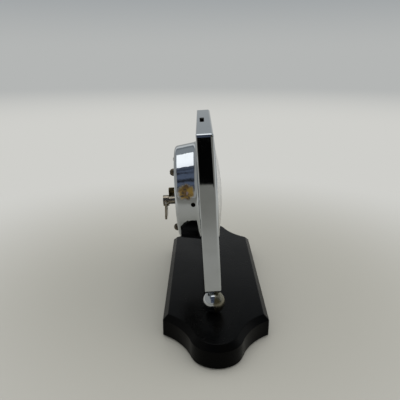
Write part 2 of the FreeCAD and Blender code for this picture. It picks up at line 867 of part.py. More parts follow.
def make_rear_can():
    slope = S.can_taper / S.can_depth
    flange_back = rear - S.can_flange_thickness
    wall_at_flange = can_front_radius - slope * S.can_flange_thickness
    inner_floor = can_back_radius + slope * S.can_wall - S.can_wall
    flange = can_front_radius + S.can_flange_width
    can = turned("rear_can", [
        (0, can_back),
        (can_back_radius, can_back),
        (wall_at_flange, flange_back),
        (flange, flange_back),
        (flange, rear),
        (can_front_radius - S.can_wall, rear),
        (inner_floor, can_floor),
        (0, can_floor),
    ], on_head())
    round_edges(can, S.can_edge_radius, ring_at(can_back_radius, can_back))
    round_edges(can, S.can_edge_radius - S.can_wall, ring_at(inner_floor, can_floor))
    round_edges(can, S.can_neck_radius, ring_at(wall_at_flange, flange_back))
    screw_hole = S.back_screw_diameter / 2 + S.screw_play
    drill(can, [(x, y, screw_hole) for x, y in pillar_points])
    drill(can, [(*barrel_at, S.winding_arbor_diameter / 2 + S.end_play * 2)])
    drill(can, [(0, 0, S.centre_arbor_diameter / 2 + S.end_play * 2)])
    side_hole = (S.can_side_hole_height, rear - S.can_side_hole_from_case, S.can_side_hole_diameter / 2)
    drill(can, [side_hole], "YZ_Plane", length=can_front_radius)
    keep("rear_can", can)


def make_back_screws():
    """Domed, slotted screws that clamp the can over spacers to the movement's pillars."""
    shank = S.back_screw_diameter / 2
    head = S.back_head_diameter / 2
    rise = S.back_head_height - S.back_head_rim
    dome = (head * head + rise * rise) / (2 * rise)
    tip = -(S.can_wall + S.spacer_length + S.plate_thickness + S.back_screw_bite)
    profile = [(0, tip), (shank, tip), (shank, 0), (head, 0), (head, S.back_head_rim, dome),
               (0, S.back_head_height)]
    bore = shank + S.screw_play
    spacer_profile = tube_profile(bore, S.spacer_diameter / 2, can_floor, rear_plate_back)
    screws, spacers = [], []
    for k, (x, y) in enumerate(pillar_points):
        screw = turned(f"back_screw_{k}", profile, on_head(x, y, can_back).multiply(FACE_BACK))
        slot = new_sketch(screw, "XY_Plane", S.back_head_height)
        half = S.back_head_slot_width / 2
        draw_outline(slot, [(-head, -half), (head, -half), (head, half), (-head, half)])
        add_pocket(screw, slot, S.back_head_slot_depth)
        screws.append(screw)
        spacers.append(turned(f"can_spacer_{k}", spacer_profile, on_head(x, y)))
    group("back_screws", screws)
    group("can_spacers", spacers)


# Bezel, glass and dial

spigot_radius = S.spigot_diameter / 2
spigot_inner = spigot_radius - S.spigot_wall
lip_radius = S.bezel_opening / 2
lip_back = front + S.bezel_height - S.bezel_lip
glass_radius = spigot_inner - S.glass_gap
glass_back = lip_back - S.glass_thickness


def make_bezel():
    outer = S.bezel_diameter / 2
    crown = outer - S.bezel_crown
    rim_top = front + S.bezel_rim
    top = front + S.bezel_height
    rise = S.bezel_height - S.bezel_rim
    bow = (S.bezel_crown * S.bezel_crown + rise * rise) / (2 * rise)
    bezel = turned("bezel_ring", [
        (spigot_inner, dial_front),
        (spigot_radius, dial_front),
        (spigot_radius, front),
        (outer, front),
        (outer, rim_top, bow),
        (crown, top),
        (lip_radius, top),
        (lip_radius, lip_back),
        (spigot_inner, lip_back),
    ], on_head())
    keep("bezel_ring", bezel)


def make_glass():
    """A domed glass with a flat rim that sits behind the bezel's lip."""
    dome_edge = lip_radius - S.glass_gap
    dome = (dome_edge * dome_edge + S.glass_rise * S.glass_rise) / (2 * S.glass_rise)
    glass = turned("glass_dome", [
        (0, glass_back + S.glass_rise, -dome),
        (dome_edge, glass_back),
        (glass_radius, glass_back),
        (glass_radius, lip_back),
        (dome_edge, lip_back, dome),
        (0, lip_back + S.glass_rise),
    ], on_head())
    keep("glass_dome", glass)
    inner = glass_radius - S.retainer_wall
    retainer = turned("glass_retainer", tube_profile(inner, glass_radius, dial_front, glass_back), on_head())
    keep("glass_retainer", retainer)


def make_dial():
    """A thin dial on two feet that reach through the front plate."""
    hole = S.cannon_pipe_diameter / 2 + S.running_play + S.hour_pipe_wall + S.dial_hole_play
    rim = spigot_radius - S.dial_overlap
    dial = turned("dial", tube_profile(hole, rim, dial_back, dial_front), on_head())
    feet = new_sketch(dial, "XY_Plane", dial_back)
    draw_circles(feet, [(x, y, S.dial_foot_diameter / 2) for x, y in dial_foot_points])
    add_pad(dial, feet, dial_back - front_plate_back, reverse=True)
    keep("dial", dial)


# Movement frame


def train_pivot_holes():
    """The pivots that both plates carry, as centre and hole radius."""
    pivots = [(third_at, S.train_pivot_diameter), (fourth_at, S.train_pivot_diameter),
              (escape_at, S.train_pivot_diameter), (lever_at, S.lever_pivot_diameter),
              (balance_at, S.balance_pivot_diameter), (centre_at, S.centre_arbor_diameter)]
    return [(*place, diameter / 2 + S.running_play) for place, diameter in pivots]


def make_plate(name, radius, back, holes):
    plate = new_body(name, on_head())
    sketch = new_sketch(plate, "XY_Plane", back)
    draw_circles(sketch, [(0, 0, radius)])
    add_pad(plate, sketch, S.plate_thickness)
    drill(plate, train_pivot_holes())
    drill(plate, holes)
    keep(name, plate)


def make_movement_frame():
    spigot = S.pillar_spigot_diameter / 2
    screw = S.movement_screw_diameter / 2
    front_holes = [(x, y, spigot + S.seat_play) for x, y in pillar_points]
    front_holes += [(x, y, screw + S.screw_play) for x, y in movement_screw_points]
    front_holes += [(x, y, S.dial_foot_diameter / 2 + S.seat_play) for x, y in dial_foot_points]
    front_holes += [(*barrel_at, S.winding_pivot_diameter / 2 + S.running_play)]
    front_holes += [(*minute_stud_at, S.minute_stud_diameter / 2 + S.seat_play)]
    make_plate("front_plate", front_plate_radius, front_plate_back, front_holes)

    rear_holes = [(x, y, S.back_screw_diameter / 2 + S.screw_play) for x, y in pillar_points]
    rear_holes += [(*barrel_at, S.winding_arbor_diameter / 2 + S.running_play)]
    rear_holes += [(*click_pivot_at, S.click_thread_diameter / 2 + S.seat_play)]
    rear_holes += [(*spring_post_at, S.click_spring_post_diameter / 4 + S.seat_play)]
    make_plate("rear_plate", rear_plate_radius, rear_plate_back, rear_holes)

    thread = S.back_screw_diameter / 2 + S.seat_play
    body = S.pillar_diameter / 2
    bottom = rear_plate_front + S.pillar_thread_depth
    profile = [(thread, rear_plate_front), (body, rear_plate_front), (body, front_plate_back),
               (spigot, front_plate_back), (spigot, front_plate_front), (0, front_plate_front),
               (0, bottom), (thread, bottom)]
    group("pillars", [turned(f"pillar_{k}", profile, on_head(x, y))
                      for k, (x, y) in enumerate(pillar_points)])

    head = S.movement_head_diameter / 2
    head_top = front_plate_front + S.movement_head_height
    profile = [(0, rear), (screw, rear), (screw, front_plate_front), (head, front_plate_front),
               (head, head_top), (0, head_top)]
    group("movement_screws", [turned(f"movement_screw_{k}", profile, on_head(x, y))
                              for k, (x, y) in enumerate(movement_screw_points)])


# Barrel and winding work

great_front = level("great_wheel") + S.great_wheel_thickness / 2
great_back = great_front - S.great_wheel_thickness
barrel_back = level("barrel_back")
cover_front = barrel_back + S.barrel_cover_thickness
ratchet_front = rear_plate_back - S.ratchet_gap
ratchet_back = ratchet_front - S.ratchet_thickness
ratchet_radius = S.ratchet_diameter / 2
click_pivot_at = (barrel_at[0] + S.click_arm, barrel_at[1] + ratchet_radius + S.ratchet_tooth_depth)
click_top_y = click_pivot_at[1] + S.click_hub_diameter / 2
spring_low_y = click_top_y + S.end_play
spring_post_at = (click_pivot_at[0] - S.click_spring_reach, spring_low_y + S.click_spring_width / 2)


def make_barrel():
    """A toothed drum with its snap-in cover and the mainspring."""
    arbor_bore = S.winding_arbor_diameter / 2 + S.running_play
    wall_inner = S.barrel_drum_diameter / 2 - S.barrel_wall
    wheel = toothed(S.barrel_teeth, S.barrel_module, S.great_wheel_thickness, direction(barrel_at, centre_at),
                    WHEEL_TOOTH_SHARES)
    wheel.translate(vector(0, 0, great_back.value))
    drum = rod(S.barrel_drum_diameter / 2, barrel_back, great_back)
    drum = drum.cut(rod(wall_inner, barrel_back, great_back))
    barrel = wheel.fuse(drum).cut(rod(arbor_bore, great_back, great_front)).removeSplitter()
    shaped("barrel", barrel, on_head(*barrel_at))
    outer = wall_inner - S.seat_play
    cover_profile = tube_profile(arbor_bore, outer, barrel_back, cover_front)
    keep("barrel_cover", turned("barrel_cover", cover_profile, on_head(*barrel_at)))

    turns = S.mainspring_turns.value
    core = S.barrel_core_diameter / 2
    thickness = S.mainspring_thickness
    step = (outer - core - thickness - S.mainspring_side_gap).value / (turns + 0.5)
    height = great_back - cover_front - S.mainspring_side_gap * 2
    strip = spiral(outer.value, step, thickness.value, int(2 * turns), height.value)
    shaped("mainspring", strip, on_head(*barrel_at, cover_front + S.mainspring_side_gap))


def make_winding_arbor():
    main = S.winding_arbor_diameter / 2
    pivot = S.winding_pivot_diameter / 2
    core = S.barrel_core_diameter / 2
    core_front = great_back - S.end_play
    core_back = cover_front + S.end_play
    end = can_back - S.key_stem_length
    shoulder = great_front + S.end_play
    arbor = turned("winding_arbor", [
        (0, end), (main, end), (main, core_back), (core, core_back), (core, core_front), (main, core_front),
        (main, shoulder), (pivot, shoulder), (pivot, front_plate_front), (0, front_plate_front),
    ], on_head(*barrel_at))
    keep("winding_arbor", arbor)


def make_ratchet_and_click():
    bore = S.winding_arbor_diameter / 2 + S.seat_play
    ratchet = saw_toothed(S.ratchet_teeth, ratchet_radius, S.ratchet_tooth_depth, S.ratchet_thickness,
                          start=90.0, sense=-1)
    ratchet = ratchet.cut(rod(bore, 0, S.ratchet_thickness))
    shaped("ratchet_wheel", ratchet, on_head(*barrel_at, ratchet_back))

    click_back = ratchet_back + (S.ratchet_thickness - S.click_thickness) / 2
    click = new_body("click", on_head(*click_pivot_at))
    hub = S.click_hub_diameter / 2
    nose_x = -S.click_arm + S.end_play
    root_y = -(S.ratchet_tooth_depth * 2)
    depth = S.ratchet_tooth_depth
    sketch = new_sketch(click, "XY_Plane", click_back)
    draw_outline(sketch, [
        (nose_x, root_y + depth * 0.3),
        (nose_x + depth * 0.9, root_y + depth * 1.3),
        (nose_x + S.click_arm / 2, root_y + depth * 1.2),
        (0, -hub, hub),
        (hub, 0, hub),
        (0, hub),
        (nose_x, root_y + depth * 1.8),
    ])
    add_pad(click, sketch, S.click_thickness)
    drill(click, [(0, 0, S.click_screw_diameter / 2 + S.running_play)])
    keep("click", click)

    thread = S.click_thread_diameter / 2
    shoulder = S.click_screw_diameter / 2
    head = S.click_head_diameter / 2
    head_front = click_back - S.end_play
    head_back = head_front - S.click_head_height
    screw = turned("click_screw", [
        (0, head_back), (head, head_back), (head, head_front), (shoulder, head_front),
        (shoulder, rear_plate_back), (thread, rear_plate_back),
        (thread, rear_plate_front), (0, rear_plate_front),
    ], on_head(*click_pivot_at))
    keep("click_screw", screw)

    post = S.click_spring_post_diameter / 2
    spring = turned("click_spring", [
        (0, click_back), (post, click_back), (post, rear_plate_back), (post / 2, rear_plate_back),
        (post / 2, rear_plate_front), (0, rear_plate_front),
    ], on_head(*spring_post_at))
    leaf = new_sketch(spring, "XY_Plane", click_back)
    half = S.click_spring_width / 2
    reach = S.click_spring_reach
    draw_outline(leaf, [(0, -half), (reach, -half), (reach, half), (0, half)])
    add_pad(spring, leaf, S.click_thickness)
    keep("click_spring", spring)


# Going train


def arbor_shape(body_diameter, pivot_diameter):
    """An arbor from plate to plate, with a pivot in each."""
    body = as_size(body_diameter) / 2
    pivot = as_size(pivot_diameter) / 2
    middle = rod(body, rear_plate_front + S.end_play, front_plate_back - S.end_play)
    return middle.fuse(rod(pivot, rear_plate_back, front_plate_front)).removeSplitter()


def make_train_arbor(word, place, leaves, leaf_module, leaf_level, driver, wheel_shape, wheel_level):
    """A pinion cut on its arbor, and the wheel staked to it."""
    facing = direction(place, driver)
    pinion = toothed(leaves, leaf_module, S.leaf_length, facing, LEAF_SHARES, gap_there=True)
    pinion.translate(vector(0, 0, (level(leaf_level) - S.leaf_length / 2).value))
    arbor = arbor_shape(S.train_arbor_diameter, S.train_pivot_diameter)
    shaped(f"{word}_pinion", arbor.fuse(pinion).removeSplitter(), on_head(*place))
    bore = S.train_arbor_diameter / 2 + S.seat_play
    wheel = wheel_shape.cut(rod(bore, 0, S.wheel_thickness))
    shaped(f"{word}_wheel", wheel, on_head(*place, level(wheel_level) - S.wheel_thickness / 2))


def make_train():
    make_train_arbor("third", third_at, S.third_leaves, S.centre_module, "centre_wheel", centre_at,
                     toothed(S.third_teeth, S.third_module, S.wheel_thickness, direction(third_at, fourth_at),
                             WHEEL_TOOTH_SHARES), "third_wheel")
    make_train_arbor("fourth", fourth_at, S.fourth_leaves, S.third_module, "third_wheel", third_at,
                     toothed(S.fourth_teeth, S.fourth_module, S.wheel_thickness,
                             direction(fourth_at, escape_at), WHEEL_TOOTH_SHARES), "fourth_wheel")
    quarter_tooth = 90.0 / S.escape_teeth.value
    escape_start = direction(escape_at, lever_at) + S.pallet_span.value / 2 + quarter_tooth
    make_train_arbor("escape", escape_at, S.escape_leaves, S.fourth_module, "fourth_wheel", fourth_at,
                     saw_toothed(S.escape_teeth, S.escape_diameter / 2, S.escape_tooth_depth,
                                 S.escape_thickness, escape_start, 1), "escape_wheel")


def make_centre():
    """The centre wheel on a pipe that grips the arbor, so that the hands can be set."""
    arbor = S.centre_arbor_diameter / 2
    bore = arbor + S.running_play
    pipe_front, pipe_back = level("centre_pipe_front"), level("centre_pipe_back")
    facing = direction(centre_at, barrel_at)
    leaves = toothed(S.centre_leaves, S.barrel_module, pipe_front - pipe_back, facing, LEAF_SHARES,
                     gap_there=True)
    leaves.translate(vector(0, 0, pipe_back.value))
    wheel_front = level("centre_wheel") + S.wheel_thickness / 2
    seat_back = wheel_front - S.wheel_thickness
    seat = S.barrel_module * (S.centre_leaves / 2 - DEDENDUM)
    tip = S.barrel_module * (S.centre_leaves / 2 + ADDENDUM)
    sleeve = rod(tip, seat_back, pipe_front).cut(rod(seat, seat_back, pipe_front))
    pipe = leaves.cut(sleeve).cut(rod(bore, pipe_back, pipe_front))
    shaped("centre_pinion", pipe, on_head())
    wheel = toothed(S.centre_teeth, S.centre_module, S.wheel_thickness, direction(centre_at, third_at),
                    WHEEL_TOOTH_SHARES)
    shaped("centre_wheel", wheel.cut(rod(seat + S.seat_play, 0, S.wheel_thickness)), on_head(0, 0, seat_back))

    collar = S.centre_collar_diameter / 2
    collar_front = pipe_back - S.end_play
    collar_back = collar_front - S.centre_collar_length
    knob_middle = can_back - S.knob_can_gap - S.knob_length / 2
    thread_end = nut_back + S.hand_nut_height / 2
    shaft = turned("centre_arbor", [
        (0, knob_middle), (arbor, knob_middle), (arbor, collar_back), (collar, collar_back),
        (collar, collar_front), (arbor, collar_front), (arbor, thread_end), (0, thread_end),
    ], on_head())
    keep("centre_arbor", shaft)


# Escapement and balance


def make_lever():
    """A pin lever: a forked arm with two pallet pins either side of the escape wheel."""
    lever_back = level("lever") - S.lever_thickness / 2
    pin_front = level("escape_wheel") + S.escape_thickness
    half_span = S.pallet_span / 2
    pin_x = -(pallet_circle / cosine(half_span) - pallet_circle * cosine(half_span))
    pin_y = pallet_circle * sine(half_span)
    pin = S.pallet_pin_diameter / 2
    reach = S.fork_length
    half = S.fork_width / 2
    slot = S.fork_slot / 2
    notch = reach - S.fork_slot_depth
    arm = S.lever_arbor_diameter / 2
    angle = direction(lever_at, balance_at)
    lever = new_body("pallet_lever", on_head(*lever_at).multiply(turn(Z_AXIS, angle)))
    sketch = new_sketch(lever, "XY_Plane", lever_back)
    draw_outline(sketch, [
        (pin_x - pin * 2, -pin_y - pin * 2), (pin_x + pin * 2, -pin_y - pin * 2), (arm * 2, -arm),
        (notch, -arm), (notch, -half), (reach, -half), (reach, -slot), (notch, -slot), (notch, slot),
        (reach, slot), (reach, half), (notch, half), (notch, arm), (arm * 2, arm),
        (pin_x + pin * 2, pin_y + pin * 2), (pin_x - pin * 2, pin_y + pin * 2), (-arm, 0),
    ])
    add_pad(lever, sketch, S.lever_thickness)
    pins = new_sketch(lever, "XY_Plane", lever_back)
    draw_circles(pins, [(pin_x, pin_y, pin), (pin_x, -pin_y, pin)])
    add_pad(lever, pins, pin_front - lever_back)
    for diameter, low, high in (
            (S.lever_arbor_diameter, rear_plate_front + S.end_play, front_plate_back - S.end_play),
            (S.lever_pivot_diameter, rear_plate_back, front_plate_front)):
        arbor = new_sketch(lever, "XY_Plane", low)
        draw_circles(arbor, [(0, 0, diameter / 2)])
        add_pad(lever, arbor, high - low)
    keep("pallet_lever", lever)


def make_balance():
    """The balance: its staff with a roller and impulse pin, its wheel, and the hairspring on a stud."""
    angle = direction(balance_at, lever_at)
    staff = S.balance_staff_diameter / 2
    collet = S.hairspring_collet_diameter / 2
    rim_back = level("balance_rim") - S.balance_rim_height / 2
    rim_front = rim_back + S.balance_rim_height
    roller_front = level("roller") + S.roller_thickness / 2
    roller_back = roller_front - S.roller_thickness
    spring_back = level("hairspring") - S.hairspring_height / 2
    pin_front = level("lever") + S.lever_thickness / 2
    shape = arbor_shape(S.balance_staff_diameter, S.balance_pivot_diameter)
    shape = shape.fuse(rod(S.roller_diameter / 2, roller_back, roller_front))
    shape = shape.fuse(rod(collet, spring_back, spring_back + S.hairspring_height))
    pin = rod(S.impulse_pin_diameter / 2, roller_back, pin_front)
    pin.translate(on_circle(impulse_radius.value, angle))
    shaped("balance_staff", shape.fuse(pin).removeSplitter(), on_head(*balance_at))

    wheel = turned("balance_wheel", tube_profile(S.balance_diameter / 2 - S.balance_rim_width,
                                                 S.balance_diameter / 2, rim_back, rim_front),
                   on_head(*balance_at))
    reach = S.balance_diameter / 2 - S.balance_rim_width / 2
    half = S.balance_arm_width / 2
    arm = new_sketch(wheel, "XY_Plane", rim_back)
    draw_outline(arm, [(-reach, -half), (reach, -half), (reach, half), (-reach, half)])
    add_pad(wheel, arm, S.balance_rim_height / 2)
    hub = new_sketch(wheel, "XY_Plane", rim_back)
    draw_circles(hub, [(0, 0, S.balance_hub_diameter / 2)])
    add_pad(wheel, hub, S.balance_rim_height)
    drill(wheel, [(0, 0, staff + S.seat_play)])
    keep("balance_wheel", wheel)

    outer = S.hairspring_diameter / 2
    turns = S.hairspring_turns.value
    step = (outer - collet - S.hairspring_thickness - S.end_play).value / (turns + 0.5)
    strip = spiral(outer.value, step, S.hairspring_thickness.value, int(2 * turns), S.hairspring_height.value)
    shaped("hairspring", strip, on_head(*balance_at, spring_back))
    stud_radius = S.hairspring_stud_diameter / 2
    stud = turned("hairspring_stud", [(0, rear_plate_front), (stud_radius, rear_plate_front),
                                      (stud_radius, spring_back + S.hairspring_height),
                                      (0, spring_back + S.hairspring_height)],
                  on_head(balance_at[0] + outer, balance_at[1] - stud_radius - S.seat_play))
    keep("hairspring_stud", stud)


# Motion work and hands

minute_wheel_back = front_plate_front + S.motion_gap
minute_wheel_front = minute_wheel_back + S.motion_wheel_thickness
hour_wheel_back = minute_wheel_front + S.motion_wheel_thickness
hour_wheel_front = hour_wheel_back + S.motion_wheel_thickness
pinion_front = hour_wheel_front + S.motion_gap / 2
hour_hand_back = dial_front + S.hand_gap
hour_hand_front = hour_hand_back + S.hand_thickness
minute_hand_back = hour_hand_front + S.hand_gap
nut_back = minute_hand_back + S.hand_thickness
cannon_radius = S.cannon_pipe_diameter / 2
hour_pipe_bore = cannon_radius + S.running_play
hour_pipe_radius = hour_pipe_bore + S.hour_pipe_wall


def make_motion_work():
    arbor = S.centre_arbor_diameter / 2 + S.seat_play
    cannon_back = front_plate_front + S.motion_gap / 2
    leaf_front = minute_wheel_front + S.motion_gap / 2
    leaves = toothed(S.cannon_leaves, S.minute_module, leaf_front - cannon_back,
                     direction(centre_at, minute_stud_at), LEAF_SHARES)
    leaves.translate(vector(0, 0, cannon_back.value))
    cannon = leaves.fuse(rod(cannon_radius, leaf_front, nut_back)).cut(rod(arbor, cannon_back, nut_back))
    shaped("cannon_pinion", cannon.removeSplitter(), on_head())

    bore = S.minute_stud_diameter / 2 + S.running_play
    wheel = toothed(S.minute_teeth, S.minute_module, S.motion_wheel_thickness,
                    direction(minute_stud_at, centre_at), WHEEL_TOOTH_SHARES, gap_there=True)
    wheel.translate(vector(0, 0, minute_wheel_back.value))
    pinion = toothed(S.minute_leaves, hour_module, pinion_front - minute_wheel_front,
                     direction(minute_stud_at, centre_at), LEAF_SHARES, gap_there=True)
    pinion.translate(vector(0, 0, minute_wheel_front.value))
    minute = wheel.fuse(pinion).cut(rod(bore, minute_wheel_back, pinion_front))
    shaped("minute_wheel", minute.removeSplitter(), on_head(*minute_stud_at))
    stud_radius = S.minute_stud_diameter / 2
    stud = turned("minute_stud", [(0, front_plate_back), (stud_radius, front_plate_back),
                                  (stud_radius, pinion_front), (0, pinion_front)], on_head(*minute_stud_at))
    keep("minute_stud", stud)

    wheel = toothed(S.hour_teeth, hour_module, S.motion_wheel_thickness, direction(centre_at, minute_stud_at),
                    WHEEL_TOOTH_SHARES)
    wheel.translate(vector(0, 0, hour_wheel_back.value))
    hour = wheel.fuse(rod(hour_pipe_radius, hour_wheel_back, hour_hand_front))
    hour = hour.cut(rod(hour_pipe_bore, hour_wheel_back, hour_hand_front))
    shaped("hour_wheel", hour.removeSplitter(), on_head())


def make_hand(name, length, width, angle, back, pipe_radius):
    """A tapered hand with a short tail, round a pipe."""
    eye = pipe_radius + S.hand_eye_wall
    half = width / 2
    shoulder = length * 0.55
    hand = new_body(name, on_head().multiply(turn(Z_AXIS, -angle.value)))
    sketch = new_sketch(hand, "XY_Plane", back)
    draw_outline(sketch, [(-(half * 0.6), -S.hand_tail), (half * 0.6, -S.hand_tail), (half * 0.4, 0),
                          (half, shoulder), (0, length), (-half, shoulder), (-(half * 0.4), 0)])
    add_pad(hand, sketch, S.hand_thickness)
    disc = new_sketch(hand, "XY_Plane", back)
    draw_circles(disc, [(0, 0, eye)])
    add_pad(hand, disc, S.hand_thickness)
    drill(hand, [(0, 0, pipe_radius + S.seat_play)])
    keep(name, hand)


def make_hands():
    make_hand("hour_hand", S.hour_hand_length, S.hour_hand_width, S.hour_hand_angle, hour_hand_back,
              hour_pipe_radius)
    make_hand("minute_hand", S.minute_hand_length, S.minute_hand_width, S.minute_hand_angle, minute_hand_back,
              cannon_radius)
    bore = S.centre_arbor_diameter / 2 + S.seat_play
    edge = S.hand_nut_diameter / 2
    rim = S.hand_nut_height / 3
    rise = S.hand_nut_height - rim
    dome = (edge * edge + rise * rise) / (2 * rise)
    seat = nut_back + S.hand_nut_height / 2 + S.seat_play
    nut = turned("hand_nut", [(bore, nut_back), (edge, nut_back), (edge, nut_back + rim, dome),
                              (0, nut_back + S.hand_nut_height), (0, seat), (bore, seat)], on_head())
    keep("hand_nut", nut)


# Key and set knob

key_stem_front = can_back - S.key_can_gap
key_hub_front = key_stem_front - S.key_stem_length
key_hub_back = key_hub_front - S.key_hub_length
key_pin_z = (key_hub_front + key_hub_back) / 2
key_pin_half = S.key_hub_diameter / 2 + S.key_eye_gap + S.key_eye_length
KEY = on_head(*barrel_at)
KEY_PIN = on_head(*barrel_at, key_pin_z)
HANGING = FreeCAD.Placement(KEY_PIN.Base, FreeCAD.Rotation(X_AXIS, 90))


def make_key():
    stem = S.key_stem_diameter / 2
    hub = S.key_hub_diameter / 2
    bore = S.winding_arbor_diameter / 2 + S.seat_play
    floor = can_back - S.key_stem_length - S.seat_play
    key = turned("key_hub", [(bore, key_stem_front), (bore, floor), (0, floor), (0, key_hub_back),
                             (hub, key_hub_back), (hub, key_hub_front), (stem, key_hub_front),
                             (stem, key_stem_front)], KEY)
    drill(key, [(0, key_pin_z, S.key_pin_diameter / 2 + S.seat_play)], "YZ_Plane")
    keep("key_hub", key)

    pin = turned("key_pin", [(0, -key_pin_half), (S.key_pin_diameter / 2, -key_pin_half),
                             (S.key_pin_diameter / 2, key_pin_half), (0, key_pin_half)],
                 KEY_PIN.multiply(turn(vector(0, 1, 0), 90)))
    keep("key_pin", pin)


def make_wing():
    """A folding wing: a flat tab on two rolled eyes, hanging straight down from the key's pin."""
    wing = new_body("key_wing", HANGING)
    corner = S.wing_corner_radius
    half = key_pin_half
    lowest = -S.wing_length
    half_thickness = S.wing_thickness / 2
    sketch = new_sketch(wing, "XY_Plane", -half_thickness)
    draw_outline(sketch, [(-half + corner, lowest), (half - corner, lowest, corner), (half, lowest + corner),
                          (half, 0), (-half, 0), (-half, lowest + corner, corner)])
    add_pad(wing, sketch, S.wing_thickness)
    eyes = new_sketch(wing, "YZ_Plane")
    draw_circles(eyes, [(0, 0, S.key_eye_diameter / 2)])
    add_pad(wing, eyes, key_pin_half * 2, symmetric=True)
    notch = new_sketch(wing, "XY_Plane", -S.key_eye_diameter)
    notch_half = S.key_hub_diameter / 2 + S.key_eye_gap
    notch_low = -(root(S.key_hub_diameter * S.key_hub_diameter + S.key_hub_length * S.key_hub_length) / 2
                  + S.wing_notch_gap)
    draw_outline(notch, [(-notch_half, notch_low), (notch_half, notch_low),
                         (notch_half, S.key_eye_diameter), (-notch_half, S.key_eye_diameter)])
    add_pocket(wing, notch, S.key_eye_diameter * 2, reverse=True)
    drill(wing, [(0, 0, S.key_pin_diameter / 2 + S.running_play)], "YZ_Plane")
    keep("key_wing", wing)


def make_set_knob():
    radius = S.knob_diameter / 2
    pitch = 360.0 / S.knob_ridges.value
    valley = radius - S.knob_ridge_depth
    points = []
    for k in range(int(S.knob_ridges.value)):
        points.append(on_circle(radius.value, k * pitch))
        points.append(on_circle(valley.value, (k + 0.5) * pitch))
    knob = prism(points, S.knob_length.value)
    bore = rod(S.centre_arbor_diameter / 2 + S.seat_play, S.knob_length / 2 - S.seat_play, S.knob_length)
    shaped("set_knob", knob.cut(bore), on_head(0, 0, can_back - S.knob_can_gap - S.knob_length))


make_plinth()
make_ball("ball_left", -ball_x)
make_ball("ball_right", ball_x)
make_foot_fixings()
make_case_shell()
make_corner_blocks()
make_back_plate()
make_case_screws()
make_rear_can()
make_back_screws()
make_bezel()
make_glass()
make_dial()
make_movement_frame()
make_barrel()
make_winding_arbor()
make_ratchet_and_click()
make_train()
make_centre()
make_lever()
make_balance()
make_motion_work()
make_hands()
make_key()
make_wing()
make_set_knob()

doc.recompute()
for piece in doc.Objects:
    if "Invalid" in piece.State or "Error" in piece.State:
        raise RuntimeError(f"{piece.Label} did not build: {piece.State}")
for name, piece in nodes.items():
    if piece.Shape.isNull() or not piece.Shape.isValid() or not piece.Shape.Solids:
        raise RuntimeError(f"{name} has no valid solid")

os.makedirs("parts", exist_ok=True)
for name, piece in nodes.items():
    piece.Shape.exportStep(f"parts/{name}.step")
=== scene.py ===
import json
import math

import bmesh
import bpy
from mathutils import Matrix, Vector


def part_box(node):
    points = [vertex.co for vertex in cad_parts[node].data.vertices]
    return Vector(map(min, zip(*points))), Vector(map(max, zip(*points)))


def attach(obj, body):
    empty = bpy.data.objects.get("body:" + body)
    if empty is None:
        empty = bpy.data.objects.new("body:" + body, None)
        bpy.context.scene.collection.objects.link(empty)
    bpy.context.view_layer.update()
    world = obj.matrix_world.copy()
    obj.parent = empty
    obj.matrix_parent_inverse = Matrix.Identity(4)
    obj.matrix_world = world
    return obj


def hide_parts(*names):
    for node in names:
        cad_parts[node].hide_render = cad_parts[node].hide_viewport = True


# A wind-up desk clock: a chrome case on two ball feet, on a black plinth. Metres, dial facing -Y.
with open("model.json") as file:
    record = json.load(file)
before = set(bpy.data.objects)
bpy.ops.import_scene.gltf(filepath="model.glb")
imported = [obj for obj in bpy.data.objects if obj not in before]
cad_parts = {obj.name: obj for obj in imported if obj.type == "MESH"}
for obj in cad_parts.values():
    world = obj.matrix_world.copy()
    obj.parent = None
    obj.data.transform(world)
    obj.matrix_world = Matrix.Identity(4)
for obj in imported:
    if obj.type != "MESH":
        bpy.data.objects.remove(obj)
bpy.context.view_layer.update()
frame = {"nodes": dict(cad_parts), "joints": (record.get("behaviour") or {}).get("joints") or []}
nodes = frame["nodes"]
joints = {joint["name"]: joint for joint in frame["joints"]}

MM = 0.001
MERGE = 0.001 * MM

# The dial's own frame: x right, y up the case, z out of the dial
dial_out = -Vector(joints["hands_turn"]["axis"])
dial_centre = Vector(joints["hands_turn"]["pos_m"])
dial_right = Vector((1, 0, 0))
dial_up = dial_out.cross(dial_right)
HEAD = Matrix((dial_right, dial_up, dial_out)).transposed().to_4x4()
HEAD.translation = dial_centre


def on_head(x, y, z):
    """A point given in the dial's frame."""
    return HEAD @ Vector((x, y, z))


dial_face = max((vertex.co - dial_centre).dot(dial_out) for vertex in nodes["dial"].data.vertices)
dial_window = min((vertex.co - on_head(0, 0, (vertex.co - dial_centre).dot(dial_out))).length
                  for vertex in nodes["glass_retainer"].data.vertices)


# Nodes and colours

COLOUR = {"data_type": "RGBA"}
SMOOTH = {"interpolation_type": "SMOOTHSTEP"}


def put(tree, kind, *values, inputs=None, **settings):
    """Adds a node with its settings, links or sets its inputs, and gives its outputs by name.

    Values fill the inputs in the order that the node shows them, and inputs names others.
    """
    node = tree.nodes.new(kind)
    for setting, choice in settings.items():
        setattr(node, setting, choice)
    shown = [socket for socket in node.inputs if socket.enabled]
    named = {socket.name: socket for socket in shown}
    given = list(zip(shown, values)) + [(named[name], value) for name, value in (inputs or {}).items()]
    for socket, value in given:
        if isinstance(value, bpy.types.NodeSocket):
            tree.links.new(value, socket)
        else:
            socket.default_value = value
    return {socket.name: socket for socket in node.outputs if socket.enabled}


def linear(text):
    """An sRGB hex colour as linear values."""
    shares = [int(text[k:k + 2], 16) / 255 for k in (1, 3, 5)]
    return tuple(s / 12.92 if s <= 0.04045 else ((s + 0.055) / 1.055) ** 2.4 for s in shares) + (1.0,)


def grain(size):
    """The texture scale whose features are about this size."""
    return 1 / size


def new_finish(name):
    """An empty material with its tree, and the place on the piece that its patterns follow."""
    finish = bpy.data.materials.new(name)
    finish.use_nodes = True
    tree = finish.node_tree
    tree.nodes.clear()
    return finish, tree, put(tree, "ShaderNodeTexCoord")["Object"]


# Chrome


